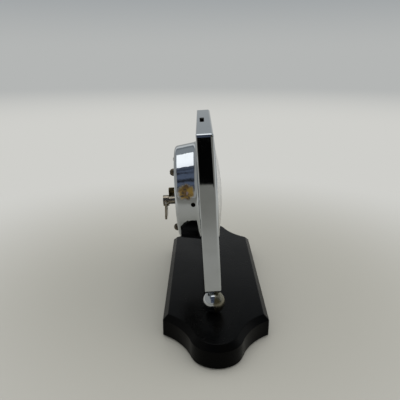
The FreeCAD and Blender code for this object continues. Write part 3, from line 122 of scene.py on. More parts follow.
def plating(tree, place, wave_size, wave_depth):
    """The colour, gloss and normal of bright plate: smudged, wiped up and down, with a few pits."""
    smudge_size, wipe_width, wipe_depth, pit_spacing = 14 * MM, 1.2 * MM, 0.05 * MM, 11 * MM
    smudge = put(tree, "ShaderNodeTexNoise", place, grain(smudge_size), 4.0)["Fac"]
    waves = put(tree, "ShaderNodeTexNoise", place, grain(wave_size), 2.0)["Fac"]
    upright = put(tree, "ShaderNodeMapping", place, inputs={"Scale": (1, 1, 0.12)})["Vector"]
    wipes = put(tree, "ShaderNodeTexNoise", upright, grain(wipe_width), 2.0)["Fac"]
    pits = put(tree, "ShaderNodeTexVoronoi", place, grain(pit_spacing))["Distance"]
    smudged = put(tree, "ShaderNodeMapRange", smudge, 0.45, 0.75, **SMOOTH)["Result"]
    pitted = put(tree, "ShaderNodeMapRange", pits, 0.012, 0.03, 0.6, 0.0, **SMOOTH)["Result"]
    colour = put(tree, "ShaderNodeMix", smudged, linear("#C3C7CA"), linear("#BDC1C3"), **COLOUR)["Result"]
    colour = put(tree, "ShaderNodeMix", pitted, colour, linear("#7B766E"), **COLOUR)["Result"]
    gloss = put(tree, "ShaderNodeMapRange", smudge, 0.35, 0.8, 0.03, 0.045, **SMOOTH)["Result"]
    scratched = put(tree, "ShaderNodeBump", 0.012, wipe_depth, inputs={"Height": wipes})["Normal"]
    pressed = put(tree, "ShaderNodeBump", 1.0, wave_depth,
                  inputs={"Height": waves, "Normal": scratched})["Normal"]
    return colour, gloss, pressed


def chrome_finish():
    """Chromium plate on pressed, polished brass: a near mirror that the press left very slightly wavy."""
    finish, tree, place = new_finish("chrome_plate")
    colour, gloss, normal = plating(tree, place, wave_size=9 * MM, wave_depth=0.01 * MM)
    plate = put(tree, "ShaderNodeBsdfPrincipled", colour, 1.0, gloss, inputs={"Normal": normal})["BSDF"]
    put(tree, "ShaderNodeOutputMaterial", plate)
    return finish


# The dried glue on the can: its middle, how distance counts along X, Y and Z, and its ragged edge
STAIN_AT = on_head(-38.5 * MM, 10.7 * MM, -16.4 * MM)
STAIN_SHAPE = (0.5, 1.1, 1.2)
STAIN_FULL = 8.6 * MM
STAIN_END = 12.1 * MM
STAIN_RAGGED = 7 * MM


def stained_chrome_finish():
    """Chromium plate on a drawn can, wavier, with dried glue on one side: amber, dull and ragged."""
    finish, tree, place = new_finish("stained_chrome_plate")
    colour, gloss, normal = plating(tree, place, wave_size=5 * MM, wave_depth=0.07 * MM)
    ragged_size, tone_size, streak_width, bloom_size = 3.5 * MM, 5 * MM, 2.2 * MM, 3.4 * MM
    offset = put(tree, "ShaderNodeVectorMath", place, tuple(STAIN_AT), operation="SUBTRACT")["Vector"]
    flat = put(tree, "ShaderNodeMapping", offset, inputs={"Scale": STAIN_SHAPE})["Vector"]
    away = put(tree, "ShaderNodeVectorMath", flat, operation="LENGTH")["Value"]
    ragged = put(tree, "ShaderNodeTexNoise", place, grain(ragged_size), 4.0)["Fac"]
    edge = put(tree, "ShaderNodeMath", ragged, STAIN_RAGGED, away, operation="MULTIPLY_ADD")["Value"]
    stain = put(tree, "ShaderNodeMapRange", edge, STAIN_FULL, STAIN_END, 0.95, 0.0, **SMOOTH)["Result"]
    tones = put(tree, "ShaderNodeTexNoise", place, grain(tone_size), 3.0)["Fac"]
    level = put(tree, "ShaderNodeMapping", place, inputs={"Scale": (1, 0.5, 1)})["Vector"]
    streaks = put(tree, "ShaderNodeTexNoise", level, grain(streak_width), 4.0)["Fac"]
    upright = put(tree, "ShaderNodeMapping", place, inputs={"Scale": (1, 1, 0.7)})["Vector"]
    bloom = put(tree, "ShaderNodeTexNoise", upright, grain(bloom_size), 2.0)["Fac"]
    thick = put(tree, "ShaderNodeMapRange", tones, 0.38, 0.6, **SMOOTH)["Result"]
    streaked = put(tree, "ShaderNodeMapRange", streaks, 0.5, 0.66, **SMOOTH)["Result"]
    bloomed = put(tree, "ShaderNodeMapRange", bloom, 0.6, 0.72, **SMOOTH)["Result"]
    amber = put(tree, "ShaderNodeMix", thick, linear("#64450C"), linear("#A8862C"), **COLOUR)["Result"]
    amber = put(tree, "ShaderNodeMix", streaked, amber, linear("#3E3222"), **COLOUR)["Result"]
    amber = put(tree, "ShaderNodeMix", bloomed, amber, linear("#8C7C80"), **COLOUR)["Result"]
    colour = put(tree, "ShaderNodeMix", stain, colour, amber, **COLOUR)["Result"]
    gloss = put(tree, "ShaderNodeMix", stain, gloss, 0.28)["Result"]
    metal = put(tree, "ShaderNodeMapRange", stain, 0.0, 1.0, 1.0, 0.45, **SMOOTH)["Result"]
    plate = put(tree, "ShaderNodeBsdfPrincipled", colour, metal, gloss, inputs={"Normal": normal})["BSDF"]
    put(tree, "ShaderNodeOutputMaterial", plate)
    return finish


def worn_chrome_finish():
    """Thin plate on turned balls: bright and mottled behind, with a painted olive-grey reflection on the
    dial side, which is also rougher.
    """
    finish, tree, place = new_finish("ball_chrome_painted_reflection_plate")
    colour, gloss, normal = plating(tree, place, wave_size=3 * MM, wave_depth=0.05 * MM)
    ragged_size, ragged_depth, cloud_size = 4 * MM, 3 * MM, 2.6 * MM
    low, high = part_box("ball_left")
    middle = (low[1] + high[1]) / 2
    painted_reflection_full_edge, painted_reflection_end_edge = middle + 0.8 * MM, middle + 2.4 * MM
    # Painted reflection: the dial side of each ball is coloured a mottled olive grey for the dark
    # surroundings it reflects
    across = put(tree, "ShaderNodeSeparateXYZ", place)["Y"]
    ragged = put(tree, "ShaderNodeTexNoise", place, grain(ragged_size), 3.0)["Fac"]
    edge = put(tree, "ShaderNodeMath", ragged, ragged_depth, across, operation="MULTIPLY_ADD")["Value"]
    painted_reflection_share = put(tree, "ShaderNodeMapRange", edge, painted_reflection_full_edge, painted_reflection_end_edge, 0.9, 0.0, **SMOOTH)["Result"]
    clouds = put(tree, "ShaderNodeTexNoise", place, grain(cloud_size), 4.0)["Fac"]
    painted_olive_reflection = put(tree, "ShaderNodeMix", clouds, linear("#8A846E"), linear("#6F6A55"), **COLOUR)["Result"]
    colour = put(tree, "ShaderNodeMix", painted_reflection_share, colour, painted_olive_reflection, **COLOUR)["Result"]
    gloss = put(tree, "ShaderNodeMix", painted_reflection_share, gloss, 0.3)["Result"]
    plate = put(tree, "ShaderNodeBsdfPrincipled", colour, 1.0, gloss, inputs={"Normal": normal})["BSDF"]
    put(tree, "ShaderNodeOutputMaterial", plate)
    return finish


# Other finishes


def lacquer_finish(name, worn=False):
    """Satin black lacquer brushed on wood: dark, soft reflections, fine brush lines and a little dust."""
    finish, tree, place = new_finish(name)
    cloud_size, dust_size, chip_size = 30 * MM, 1.1 * MM, 2.4 * MM
    brush_width, brush_depth = 0.9 * MM, 0.1 * MM
    clouds = put(tree, "ShaderNodeTexNoise", place, grain(cloud_size), 5.0)["Fac"]
    along = put(tree, "ShaderNodeMapping", place, inputs={"Scale": (0.08, 1, 1)})["Vector"]
    brushed = put(tree, "ShaderNodeTexNoise", along, grain(brush_width), 3.0)["Fac"]
    specks = put(tree, "ShaderNodeTexNoise", place, grain(dust_size), 5.0, 0.7)["Fac"]
    dust = put(tree, "ShaderNodeMapRange", specks, 0.6, 0.78, **SMOOTH)["Result"]
    colour = put(tree, "ShaderNodeMix", clouds, linear("#020202"), linear("#040404"), **COLOUR)["Result"]
    colour = put(tree, "ShaderNodeMix", dust, colour, linear("#0B0B0B"), **COLOUR)["Result"]
    if worn:
        rubs = put(tree, "ShaderNodeTexNoise", place, grain(chip_size), 4.0, 0.65)["Fac"]
        chips = put(tree, "ShaderNodeMapRange", rubs, 0.6, 0.68, **SMOOTH)["Result"]
        colour = put(tree, "ShaderNodeMix", chips, linear("#0C0C0C"), linear("#6E6A62"), **COLOUR)["Result"]
    gloss = put(tree, "ShaderNodeMapRange", clouds, 0.3, 0.7, 0.2, 0.3, **SMOOTH)["Result"]
    lines = put(tree, "ShaderNodeBump", 0.04, brush_depth, inputs={"Height": brushed})["Normal"]
    coat = put(tree, "ShaderNodeBsdfPrincipled", colour, 0.0, gloss,
               inputs={"IOR": 1.5, "Specular IOR Level": 0.06, "Normal": lines})["BSDF"]
    put(tree, "ShaderNodeOutputMaterial", coat)
    return finish


def felt_finish():
    """Pressed green wool felt: matt, with a short tangled nap, drawn coarser than real so that it shows."""
    finish, tree, place = new_finish("pressed_felt")
    nap_size, tuft_height = 0.6 * MM, 0.3 * MM
    nap = put(tree, "ShaderNodeTexNoise", place, grain(nap_size), 6.0, 0.75)["Fac"]
    colour = put(tree, "ShaderNodeMix", nap, linear("#10231A"), linear("#284A38"), **COLOUR)["Result"]
    tufts = put(tree, "ShaderNodeBump", 0.5, tuft_height, inputs={"Height": nap})["Normal"]
    wool = put(tree, "ShaderNodeBsdfPrincipled", colour, 0.0, 0.95,
               inputs={"Sheen Weight": 0.3, "Normal": tufts})["BSDF"]
    put(tree, "ShaderNodeOutputMaterial", wool)
    return finish


def metal_finish(name, light, dark, smooth, dull, tool_way=(1, 1, 1), bright_share=0.55):
    """A worked metal: fine tool marks one way, with a darker, duller tarnish in cloudy patches."""
    finish, tree, place = new_finish(name)
    patch_size, mark_width, mark_depth = 3.2 * MM, 0.35 * MM, 0.03 * MM
    patches = put(tree, "ShaderNodeTexNoise", place, grain(patch_size), 5.0, 0.6)["Fac"]
    tarnish = put(tree, "ShaderNodeMapRange", patches, bright_share - 0.15, bright_share + 0.2,
                  **SMOOTH)["Result"]
    along = put(tree, "ShaderNodeMapping", place, inputs={"Scale": tool_way})["Vector"]
    marks = put(tree, "ShaderNodeTexNoise", along, grain(mark_width), 2.0)["Fac"]
    colour = put(tree, "ShaderNodeMix", tarnish, linear(light), linear(dark), **COLOUR)["Result"]
    gloss = put(tree, "ShaderNodeMapRange", tarnish, 0.0, 1.0, smooth, dull, **SMOOTH)["Result"]
    cuts = put(tree, "ShaderNodeBump", 0.12, mark_depth, inputs={"Height": marks})["Normal"]
    metal = put(tree, "ShaderNodeBsdfPrincipled", colour, 1.0, gloss, inputs={"Normal": cuts})["BSDF"]
    put(tree, "ShaderNodeOutputMaterial", metal)
    return finish


def paint_finish(name, light, dark, speck, smooth):
    """Sprayed or printed paint: even, slightly clouded, with fine texture and a few age specks."""
    finish, tree, place = new_finish(name)
    cloud_size, speck_spacing = 16 * MM, 3.1 * MM
    texture_size, texture_depth = 0.4 * MM, 0.02 * MM
    clouds = put(tree, "ShaderNodeTexNoise", place, grain(cloud_size), 4.0)["Fac"]
    specks = put(tree, "ShaderNodeTexVoronoi", place, grain(speck_spacing))["Distance"]
    orange_peel = put(tree, "ShaderNodeTexNoise", place, grain(texture_size), 3.0)["Fac"]
    clouded = put(tree, "ShaderNodeMapRange", clouds, 0.35, 0.7, **SMOOTH)["Result"]
    aged = put(tree, "ShaderNodeMapRange", specks, 0.03, 0.07, 1.0, 0.0, **SMOOTH)["Result"]
    colour = put(tree, "ShaderNodeMix", clouded, linear(light), linear(dark), **COLOUR)["Result"]
    colour = put(tree, "ShaderNodeMix", aged, colour, linear(speck), **COLOUR)["Result"]
    gloss = put(tree, "ShaderNodeMapRange", clouds, 0.3, 0.7, smooth - 0.06, smooth + 0.06,
                **SMOOTH)["Result"]
    sprayed = put(tree, "ShaderNodeBump", 0.05, texture_depth, inputs={"Height": orange_peel})["Normal"]
    coat = put(tree, "ShaderNodeBsdfPrincipled", colour, 0.0, gloss,
               inputs={"IOR": 1.5, "Normal": sprayed})["BSDF"]
    put(tree, "ShaderNodeOutputMaterial", coat)
    return finish


def glass_finish():
    """Thin blown glass, clear, with a faint bloom of dust that softens it in patches."""
    finish, tree, place = new_finish("domed_glass")
    bloom_size = 12 * MM
    bloom = put(tree, "ShaderNodeTexNoise", place, grain(bloom_size), 4.0)["Fac"]
    gloss = put(tree, "ShaderNodeMapRange", bloom, 0.5, 0.8, 0.0, 0.05, **SMOOTH)["Result"]
    dome = put(tree, "ShaderNodeBsdfPrincipled", linear("#FBFDFC"), 0.0, gloss,
               inputs={"IOR": 1.5, "Transmission Weight": 1.0})["BSDF"]
    put(tree, "ShaderNodeOutputMaterial", dome)
    return finish


# The finishes of this clock

# Bright mirror plate on the case, the ring round the glass and the back
chrome = chrome_finish()
stained_chrome = stained_chrome_finish()
# Ball plate, with a painted olive-grey reflection on the dial side
ball_chrome_painted_reflection = worn_chrome_finish()
# Deep black top and sides, with grey rubbed through where the corners are handled
lacquer = lacquer_finish("satin_black_lacquer")
worn_lacquer = lacquer_finish("worn_black_lacquer", worn=True)
felt = felt_finish()
# Brass gone grey-brown from fingers: a soft shine on the key
aged_brass = metal_finish("aged_brass", "#989082", "#6B6152", 0.22, 0.4)
# Browned bronze: a dark, low shine on the knob that sets the hands
dark_bronze = metal_finish("dark_bronze", "#5A4E32", "#2B2516", 0.3, 0.48, bright_share=0.5)
# Blackened steel: almost no shine, on the stub at the top
black_oxide = metal_finish("black_oxide", "#1C1B1A", "#0E0D0C", 0.4, 0.55)
# Clean rolled brass under lacquer: warm and bright, with upright tool marks, in the movement
brass = metal_finish("lacquered_brass", "#C7A461", "#A98646", 0.22, 0.34, (1, 1, 0.1), bright_share=0.6)
# Turned and polished steel: cool grey with fine turning marks
steel = metal_finish("turned_steel", "#A9AAAB", "#8A8A88", 0.24, 0.36, (1, 0.1, 1), bright_share=0.6)
# Heat-blued spring steel: deep blue with a satin shine
blued_steel = metal_finish("blued_steel", "#2E3A57", "#1E2538", 0.26, 0.36)
# Old brass screws gone brown: dull, with darker blotches
dark_screw = metal_finish("oxidised_screw", "#6A6152", "#37322B", 0.34, 0.5, bright_share=0.5)
glass = glass_finish()
# Cream dial paint: matt and warm, a little yellowed
dial_paint = paint_finish("cream_dial_paint", "#E6DFCB", "#DCD3BB", "#A3906A", 0.42)
# Black printing ink: matt, thin and slightly brown
print_ink = paint_finish("black_printing_ink", "#17140F", "#221D16", "#2E281E", 0.5)
# Black enamel on the hands: darker and glossier than the print
hand_paint = paint_finish("black_hand_paint", "#0F0E0D", "#1B1917", "#2A2622", 0.3)

NODE_FINISHES = [
    (chrome, ["case_shell", "back_plate", "bezel_ring"]),
    (stained_chrome, ["rear_can"]),
    (ball_chrome_painted_reflection, ["ball_left", "ball_right"]),
    (felt, ["base_felt"]),
    (glass, ["glass_dome"]),
    (dial_paint, ["dial"]),
    (dark_screw, ["back_screws"]),
    (black_oxide, ["top_screw"]),
    (blued_steel, ["click_spring", "hairspring", "mainspring"]),
    (steel, ["foot_screws", "foot_washers", "plate_screws", "movement_screws", "winding_arbor",
             "ratchet_wheel", "click", "click_screw", "centre_arbor", "centre_pinion", "third_pinion",
             "fourth_pinion", "escape_pinion", "pallet_lever", "balance_staff", "minute_stud", "key_pin",
             "corner_blocks"]),
]


def dress_cad_pieces():
    """Every CAD piece gets a finish; brass where the list names no other."""
    chosen = {name: finish for finish, names in NODE_FINISHES for name in names}
    for name, piece in nodes.items():
        for slot in piece.material_slots:
            slot.material = chosen.get(name, brass)


# Making pieces


def own(piece, body):
    """Hands a finished piece to the body it moves with."""
    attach(piece, body)


def new_piece(name, mesh, *finishes):
    """A piece with its finishes, put into the scene."""
    piece = bpy.data.objects.new(name, mesh)
    bpy.context.scene.collection.objects.link(piece)
    mesh.materials.clear()
    for finish in finishes:
        mesh.materials.append(finish)
    return piece


def settle(piece):
    """Turns a piece's modifiers into its plain mesh."""
    finishes = list(piece.data.materials)
    shown = piece.evaluated_get(bpy.context.evaluated_depsgraph_get())
    mesh = bpy.data.meshes.new_from_object(shown)
    piece.modifiers.clear()
    piece.data = mesh
    mesh.name = piece.name
    mesh.materials.clear()
    for finish in finishes:
        mesh.materials.append(finish)


SOFT_ANGLE = math.radians(30)
FLAT_ANGLE = math.radians(0.2)


def eased(node, name, width, finish, edge_finish=None, segments=3):
    """A copy of a CAD piece with its sharp corners rounded over, which stands for that piece."""
    shape = bmesh.new()
    shape.from_mesh(nodes[node].data)
    bmesh.ops.remove_doubles(shape, verts=shape.verts, dist=MERGE)
    bmesh.ops.dissolve_limit(shape, angle_limit=FLAT_ANGLE, verts=shape.verts, edges=shape.edges)
    clean = bpy.data.meshes.new(name)
    shape.to_mesh(clean)
    shape.free()
    clean.attributes.remove(clean.attributes["custom_normal"])
    clean.shade_smooth()
    clean.set_sharp_from_angle(angle=SOFT_ANGLE)
    piece = new_piece(name, clean, finish, edge_finish or finish)
    for face in clean.polygons:
        face.material_index = 0
    corner = piece.modifiers.new("rounded_corners", "BEVEL")
    corner.width = width
    corner.segments = segments
    corner.limit_method = "ANGLE"
    corner.angle_limit = SOFT_ANGLE
    corner.harden_normals = True
    corner.material = 1
    settle(piece)
    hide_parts(node)
    return piece


# Dial printing

PRINT_HEIGHT = 0.08 * MM
MARK_CORNER = 0.3
NUMERAL_HEIGHT = 8.2 * MM
NUMERAL_RING = 27.5 * MM
TRACK_RING = dial_window - 2.6 * MM
TRACKS = {"minute_marks": {"Count": 60, "Width": 0.35 * MM, "Length": 1.6 * MM},
          "hour_marks": {"Count": 12, "Width": 1.1 * MM, "Length": 2.6 * MM}}


def mark_tree(finish):
    """A Geometry Nodes tree for raised marks with rounded corners, set evenly round the dial."""
    tree = bpy.data.node_groups.new("dial_marks", "GeometryNodeTree")
    sizes = {"Count": "NodeSocketInt", "Width": "NodeSocketFloat", "Length": "NodeSocketFloat",
             "Height": "NodeSocketFloat", "Ring": "NodeSocketFloat"}
    for label, kind in sizes.items():
        tree.interface.new_socket(label, in_out="INPUT", socket_type=kind)
    tree.interface.new_socket("Geometry", in_out="OUTPUT", socket_type="NodeSocketGeometry")
    given = put(tree, "NodeGroupInput")
    circle = put(tree, "GeometryNodeMeshCircle", given["Count"], given["Ring"])["Mesh"]
    outline = put(tree, "GeometryNodeCurvePrimitiveQuadrilateral", given["Width"], given["Length"])["Curve"]
    corner = put(tree, "ShaderNodeMath", given["Width"], MARK_CORNER, operation="MULTIPLY")["Value"]
    rounded = put(tree, "GeometryNodeFilletCurve", outline, 2, corner, mode="POLY")["Curve"]
    face = put(tree, "GeometryNodeFillCurve", rounded, mode="NGONS")["Mesh"]
    raised = put(tree, "GeometryNodeExtrudeMesh", face, inputs={"Offset Scale": given["Height"]})["Mesh"]
    under = put(tree, "GeometryNodeFlipFaces", face)["Mesh"]
    whole = put(tree, "GeometryNodeJoinGeometry", raised)["Geometry"]
    tree.links.new(under, whole.node.inputs["Geometry"])
    mark = put(tree, "GeometryNodeMergeByDistance", whole, inputs={"Distance": MERGE})["Geometry"]
    index = put(tree, "GeometryNodeInputIndex")["Index"]
    step = put(tree, "ShaderNodeMath", 2 * math.pi, given["Count"], operation="DIVIDE")["Value"]
    turn = put(tree, "ShaderNodeMath", index, step, operation="MULTIPLY")["Value"]
    facing = put(tree, "ShaderNodeMath", turn, math.pi / 2, operation="SUBTRACT")["Value"]
    spin = put(tree, "ShaderNodeCombineXYZ", inputs={"Z": facing})["Vector"]
    marks = put(tree, "GeometryNodeInstanceOnPoints", circle,
                inputs={"Instance": mark, "Rotation": spin})["Instances"]
    solid = put(tree, "GeometryNodeRealizeInstances", marks)["Geometry"]
    painted = put(tree, "GeometryNodeSetMaterial", solid, inputs={"Material": finish})["Geometry"]
    put(tree, "NodeGroupOutput", painted)
    return tree


def dial_marks(name, tree, sizes, finish):
    """One ring of marks, grown by the tree at these sizes and laid on the dial."""
    piece = new_piece(name, bpy.data.meshes.new(name), finish)
    growth = piece.modifiers.new("growth", "NODES")
    growth.node_group = tree
    for socket in tree.interface.items_tree:
        if socket.name in sizes:
            growth[socket.identifier] = sizes[socket.name]
    settle(piece)
    piece.data.transform(HEAD @ Matrix.Translation((0, 0, dial_face)))
    return piece


def dial_numerals(finish):
    """Plain upright hour figures, as thin raised print."""
    shapes = bmesh.new()
    for hour in range(1, 13):
        words = bpy.data.curves.new("figure", "FONT")
        words.body = str(hour)
        words.size = NUMERAL_HEIGHT
        words.align_x = "CENTER"
        words.align_y = "CENTER"
        words.extrude = PRINT_HEIGHT / 2
        words.resolution_u = 6
        figure = bpy.data.objects.new("figure", words)
        mesh = bpy.data.meshes.new_from_object(figure)
        middle = sum((Vector(corner) for corner in figure.bound_box), Vector()) / 8
        angle = math.radians(90 - 30 * hour)
        at = Vector((math.cos(angle), math.sin(angle), 0)) * NUMERAL_RING
        mesh.transform(Matrix.Translation(at - middle + Vector((0, 0, PRINT_HEIGHT / 2))))
        shapes.from_mesh(mesh)
        bpy.data.objects.remove(figure)
        bpy.data.meshes.remove(mesh)
    mesh = bpy.data.meshes.new("dial_numerals")
    bmesh.ops.remove_doubles(shapes, verts=shapes.verts, dist=MERGE)
    shapes.to_mesh(mesh)
    shapes.free()
    mesh.transform(HEAD @ Matrix.Translation((0, 0, dial_face)))
    return new_piece("dial_numerals", mesh, finish)


# Pieces

PLINTH_CORNER = 0.6 * MM
KEY_HUB_CORNER = 0.35 * MM
KEY_WING_CORNER = 0.25 * MM
KNOB_CORNER = 0.12 * MM
HAND_CORNER = 0.1 * MM


def make_plinth():
    """The black plinth, its corners rubbed."""
    plinth = eased("base_block", "plinth", PLINTH_CORNER, lacquer, worn_lacquer)
    own(plinth, "case")


def make_dial_print():
    """Minute and hour marks and the hour figures."""
    tree = mark_tree(print_ink)
    for name, sizes in TRACKS.items():
        marks = dial_marks(name, tree, {**sizes, "Height": PRINT_HEIGHT, "Ring": TRACK_RING}, print_ink)
        own(marks, "case")
    own(dial_numerals(print_ink), "case")


def make_controls():
    """The winding key with its wing, and the knob that sets the hands."""
    own(eased("key_hub", "winding_key_hub", KEY_HUB_CORNER, aged_brass), "winding")
    own(eased("key_wing", "winding_key_wing", KEY_WING_CORNER, aged_brass), "wing")
    own(eased("set_knob", "hand_set_knob", KNOB_CORNER, dark_bronze, segments=2), "hands")


def make_hands():
    """The two painted hands."""
    own(eased("hour_hand", "hour_hand_painted", HAND_CORNER, hand_paint), "hour")
    own(eased("minute_hand", "minute_hand_painted", HAND_CORNER, hand_paint), "hands")


# Studio

CAMERA_AT = Vector((-361.0, 11.7, 199.7)) * MM
CAMERA_PITCH = math.radians(18.1)
CAMERA_LENS = 40.5
CAMERA_NEAR = 0.01
# The background's tone near the clock and at the horizon
PALE = "#CFCFCB"
HORIZON = "#B4B6B5"
# The floor's own colour, the darker one that the clock sees on the camera's side, and where the two meet
FLOOR_LIT = "#A9A7A0"
FLOOR_DIM = "#85837D"
DIM_EDGE = (-0.5, 0.1)
FLOOR_HALF = 30.0
# How far out the shadow fades to the background, and the background to the horizon
SHADOW_REACH = (0.1, 0.4)
HORIZON_REACH = (1.0, 2.6)


def make_floor():
    """Matt paper: a pale floor that takes the clock's shadow and fades into the background."""
    mesh = bpy.data.meshes.new("floor")
    corners = [(x * FLOOR_HALF, y * FLOOR_HALF, 0) for x, y in ((-1, -1), (1, -1), (1, 1), (-1, 1))]
    mesh.from_pydata(corners, [], [(0, 1, 2, 3)])
    finish, tree, place = new_finish("pale_floor")
    away = put(tree, "ShaderNodeVectorMath", place, operation="LENGTH")["Value"]
    along = put(tree, "ShaderNodeSeparateXYZ", place)["X"]
    ray = put(tree, "ShaderNodeLightPath")
    beyond = put(tree, "ShaderNodeMapRange", along, *DIM_EDGE, **SMOOTH)["Result"]
    lit = put(tree, "ShaderNodeMath", beyond, ray["Is Camera Ray"], operation="MAXIMUM")["Value"]
    colour = put(tree, "ShaderNodeMix", lit, linear(FLOOR_DIM), linear(FLOOR_LIT), **COLOUR)["Result"]
    paper = put(tree, "ShaderNodeBsdfPrincipled", colour, 0.0, 0.9,
                inputs={"Specular IOR Level": 0.2})["BSDF"]
    distant = put(tree, "ShaderNodeMapRange", away, *HORIZON_REACH, **SMOOTH)["Result"]
    tone = put(tree, "ShaderNodeMix", distant, linear(PALE), linear(HORIZON), **COLOUR)["Result"]
    glow = put(tree, "ShaderNodeEmission", tone, 1.0)["Emission"]
    unshaded = put(tree, "ShaderNodeMapRange", away, *SHADOW_REACH, **SMOOTH)["Result"]
    share = put(tree, "ShaderNodeMath", unshaded, lit, operation="MULTIPLY")["Value"]
    fade = put(tree, "ShaderNodeMixShader", share, paper, glow)["Shader"]
    put(tree, "ShaderNodeOutputMaterial", fade)
    new_piece("floor", mesh, finish)


CARD_X = (-3.0, -0.74)
CARD_Y = (-0.35, 0.14)
CARD_Z = 0.002


def make_dark_card():
    """A matt black card that lies behind the camera, and that only metal and glass see."""
    (far, near), (right, left) = CARD_X, CARD_Y
    mesh = bpy.data.meshes.new("dark_card")
    corners = [(x, y, CARD_Z) for x, y in ((far, right), (near, right), (near, left), (far, left))]
    mesh.from_pydata(corners, [], [(0, 1, 2, 3)])
    finish, tree, _ = new_finish("black_card")
    matt = put(tree, "ShaderNodeBsdfPrincipled", linear("#050505"), 0.0, 1.0,
               inputs={"Specular IOR Level": 0.0})["BSDF"]
    put(tree, "ShaderNodeOutputMaterial", matt)
    card = new_piece("dark_card", mesh, finish)
    card.visible_camera = False
    card.visible_diffuse = False
    card.visible_shadow = False


# The world's edges below are shares of a direction, so 0 is level or square on and 1 is straight that way.
# The fill light from the front, where the dial faces, is this many times the rest
FRONT_FILL = 1.9
FRONT_EDGE = (-0.85, -0.6)
FILL_EDGE = (-0.9, 0.1)
# The wall beyond the clock rises from the horizon to this tone
WALL_RISE = (0.0, 0.16)
WALL_HIGH = "#9A9FA2"
# Bands of that wall, as metal sees it: from and to these heights, then this tone
WALL_BANDS = ((0.18, 0.34, "#D8DBDC"), (0.42, 0.52, "#7A8085"), (0.54, 0.66, "#979DA1"))
# The room on the camera's side, as metal sees it: where it meets the wall, and its mottle
ROOM_EDGE = (-0.35, 0.1)
ROOM_MOTTLE = 7.0
# Two pale screens on the back's side of the room: each one's near edge and top
PALE_SCREENS = (((0.02, 0.16), (0.2, 0.32)), ((0.42, 0.62), (0.65, 0.85)))
# A brown screen on the dial's side of the room: its near edge, and how far round it comes
BROWN_NEAR = (-0.15, -0.02)
BROWN_ROUND = (-0.4, -0.25)


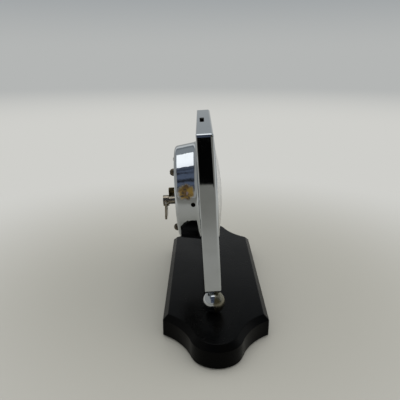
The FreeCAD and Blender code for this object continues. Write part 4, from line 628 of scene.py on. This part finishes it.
def make_world():
    """A pale background; metal sees it beyond the clock, and a dim room with screens on this side."""
    world = bpy.data.worlds.new("studio")
    world.use_nodes = True
    tree = world.node_tree
    tree.nodes.clear()
    heading = put(tree, "ShaderNodeTexCoord")["Generated"]
    parts = put(tree, "ShaderNodeSeparateXYZ", heading)
    ahead, left, height = parts["X"], parts["Y"], parts["Z"]
    ray = put(tree, "ShaderNodeLightPath")

    raised = put(tree, "ShaderNodeMapRange", height, *WALL_RISE, **SMOOTH)["Result"]
    wall = put(tree, "ShaderNodeMix", raised, linear(HORIZON), linear(WALL_HIGH), **COLOUR)["Result"]
    beyond = wall
    for low, high, tone in WALL_BANDS:
        band = put(tree, "ShaderNodeMapRange", height, low, high, **SMOOTH)["Result"]
        beyond = put(tree, "ShaderNodeMix", band, beyond, linear(tone), **COLOUR)["Result"]

    clouds = put(tree, "ShaderNodeTexNoise", heading, ROOM_MOTTLE, 3.0)["Fac"]
    mottle = put(tree, "ShaderNodeMapRange", clouds, 0.35, 0.65, **SMOOTH)["Result"]
    room = put(tree, "ShaderNodeMix", mottle, linear("#23262B"), linear("#5A6478"), **COLOUR)["Result"]
    facing = put(tree, "ShaderNodeMapRange", ahead, *ROOM_EDGE, **SMOOTH)["Result"]
    seen = put(tree, "ShaderNodeMix", facing, room, beyond, **COLOUR)["Result"]

    pale = 0.0
    for near_edge, top in PALE_SCREENS:
        beside = put(tree, "ShaderNodeMapRange", left, *near_edge, **SMOOTH)["Result"]
        below = put(tree, "ShaderNodeMapRange", height, *top, 1.0, 0.0, **SMOOTH)["Result"]
        screen = put(tree, "ShaderNodeMath", beside, below, operation="MULTIPLY")["Value"]
        pale = put(tree, "ShaderNodeMath", pale, screen, operation="MAXIMUM")["Value"]
    seen = put(tree, "ShaderNodeMix", pale, seen, linear("#A1A2A0"), **COLOUR)["Result"]

    right = put(tree, "ShaderNodeMapRange", left, *BROWN_NEAR, 1.0, 0.0, **SMOOTH)["Result"]
    behind = put(tree, "ShaderNodeMapRange", ahead, *BROWN_ROUND, 1.0, 0.0, **SMOOTH)["Result"]
    brown = put(tree, "ShaderNodeMath", right, behind, operation="MULTIPLY")["Value"]
    seen = put(tree, "ShaderNodeMix", brown, seen, linear("#55523F"), **COLOUR)["Result"]

    side = put(tree, "ShaderNodeMapRange", left, *FILL_EDGE, **SMOOTH)["Result"]
    fill = put(tree, "ShaderNodeMix", side, linear("#F4F4F2"), linear("#ECEEEC"), **COLOUR)["Result"]
    front = put(tree, "ShaderNodeMapRange", left, *FRONT_EDGE, FRONT_FILL, 1.0, **SMOOTH)["Result"]
    fill = put(tree, "ShaderNodeVectorMath", fill, inputs={"Scale": front}, operation="SCALE")["Vector"]
    shown = put(tree, "ShaderNodeMix", ray["Is Camera Ray"], fill, wall, **COLOUR)["Result"]
    # The eye sees the background through the glass, and the dial behind it still gets the fill
    direct = put(tree, "ShaderNodeMath", ray["Diffuse Depth"], 0.5, operation="LESS_THAN")["Value"]
    through = put(tree, "ShaderNodeMath", ray["Is Transmission Ray"], direct, operation="MULTIPLY")["Value"]
    shown = put(tree, "ShaderNodeMix", through, shown, wall, **COLOUR)["Result"]
    # A ray through glass counts as glossy too, so a mirrored one is glossy and a reflection
    mirrored = put(tree, "ShaderNodeMath", ray["Is Glossy Ray"], ray["Is Reflection Ray"],
                   operation="MULTIPLY")["Value"]
    shown = put(tree, "ShaderNodeMix", mirrored, shown, seen, **COLOUR)["Result"]
    backdrop = put(tree, "ShaderNodeBackground", shown, 1.0)["Background"]
    put(tree, "ShaderNodeOutputWorld", backdrop)
    bpy.context.scene.world = world


SOFTBOX_AT = (0.13, 0.05, 1.05)
SOFTBOX_SIZE = (0.74, 0.8)
SOFTBOX_WATTS = 2.4


def make_lights():
    """One large softbox overhead, whose edges show in the chrome."""
    lamp = bpy.data.lights.new("overhead_softbox", "AREA")
    lamp.shape = "RECTANGLE"
    lamp.size, lamp.size_y = SOFTBOX_SIZE
    lamp.energy = SOFTBOX_WATTS
    softbox = bpy.data.objects.new("overhead_softbox", lamp)
    softbox.location = SOFTBOX_AT
    bpy.context.scene.collection.objects.link(softbox)


def make_camera():
    """The photograph's view: from the clock's left end, looking down a little."""
    lens = bpy.data.cameras.new("camera")
    lens.lens = CAMERA_LENS
    lens.clip_start = CAMERA_NEAR
    camera = bpy.data.objects.new("camera", lens)
    camera.location = CAMERA_AT
    camera.rotation_euler = (math.pi / 2 - CAMERA_PITCH, 0, -math.pi / 2)
    bpy.context.scene.collection.objects.link(camera)
    bpy.context.scene.camera = camera


dress_cad_pieces()
make_plinth()
make_dial_print()
make_controls()
make_hands()
make_floor()
make_dark_card()
make_world()
make_lights()
make_camera()
bpy.context.scene.view_settings.view_transform = "Standard"
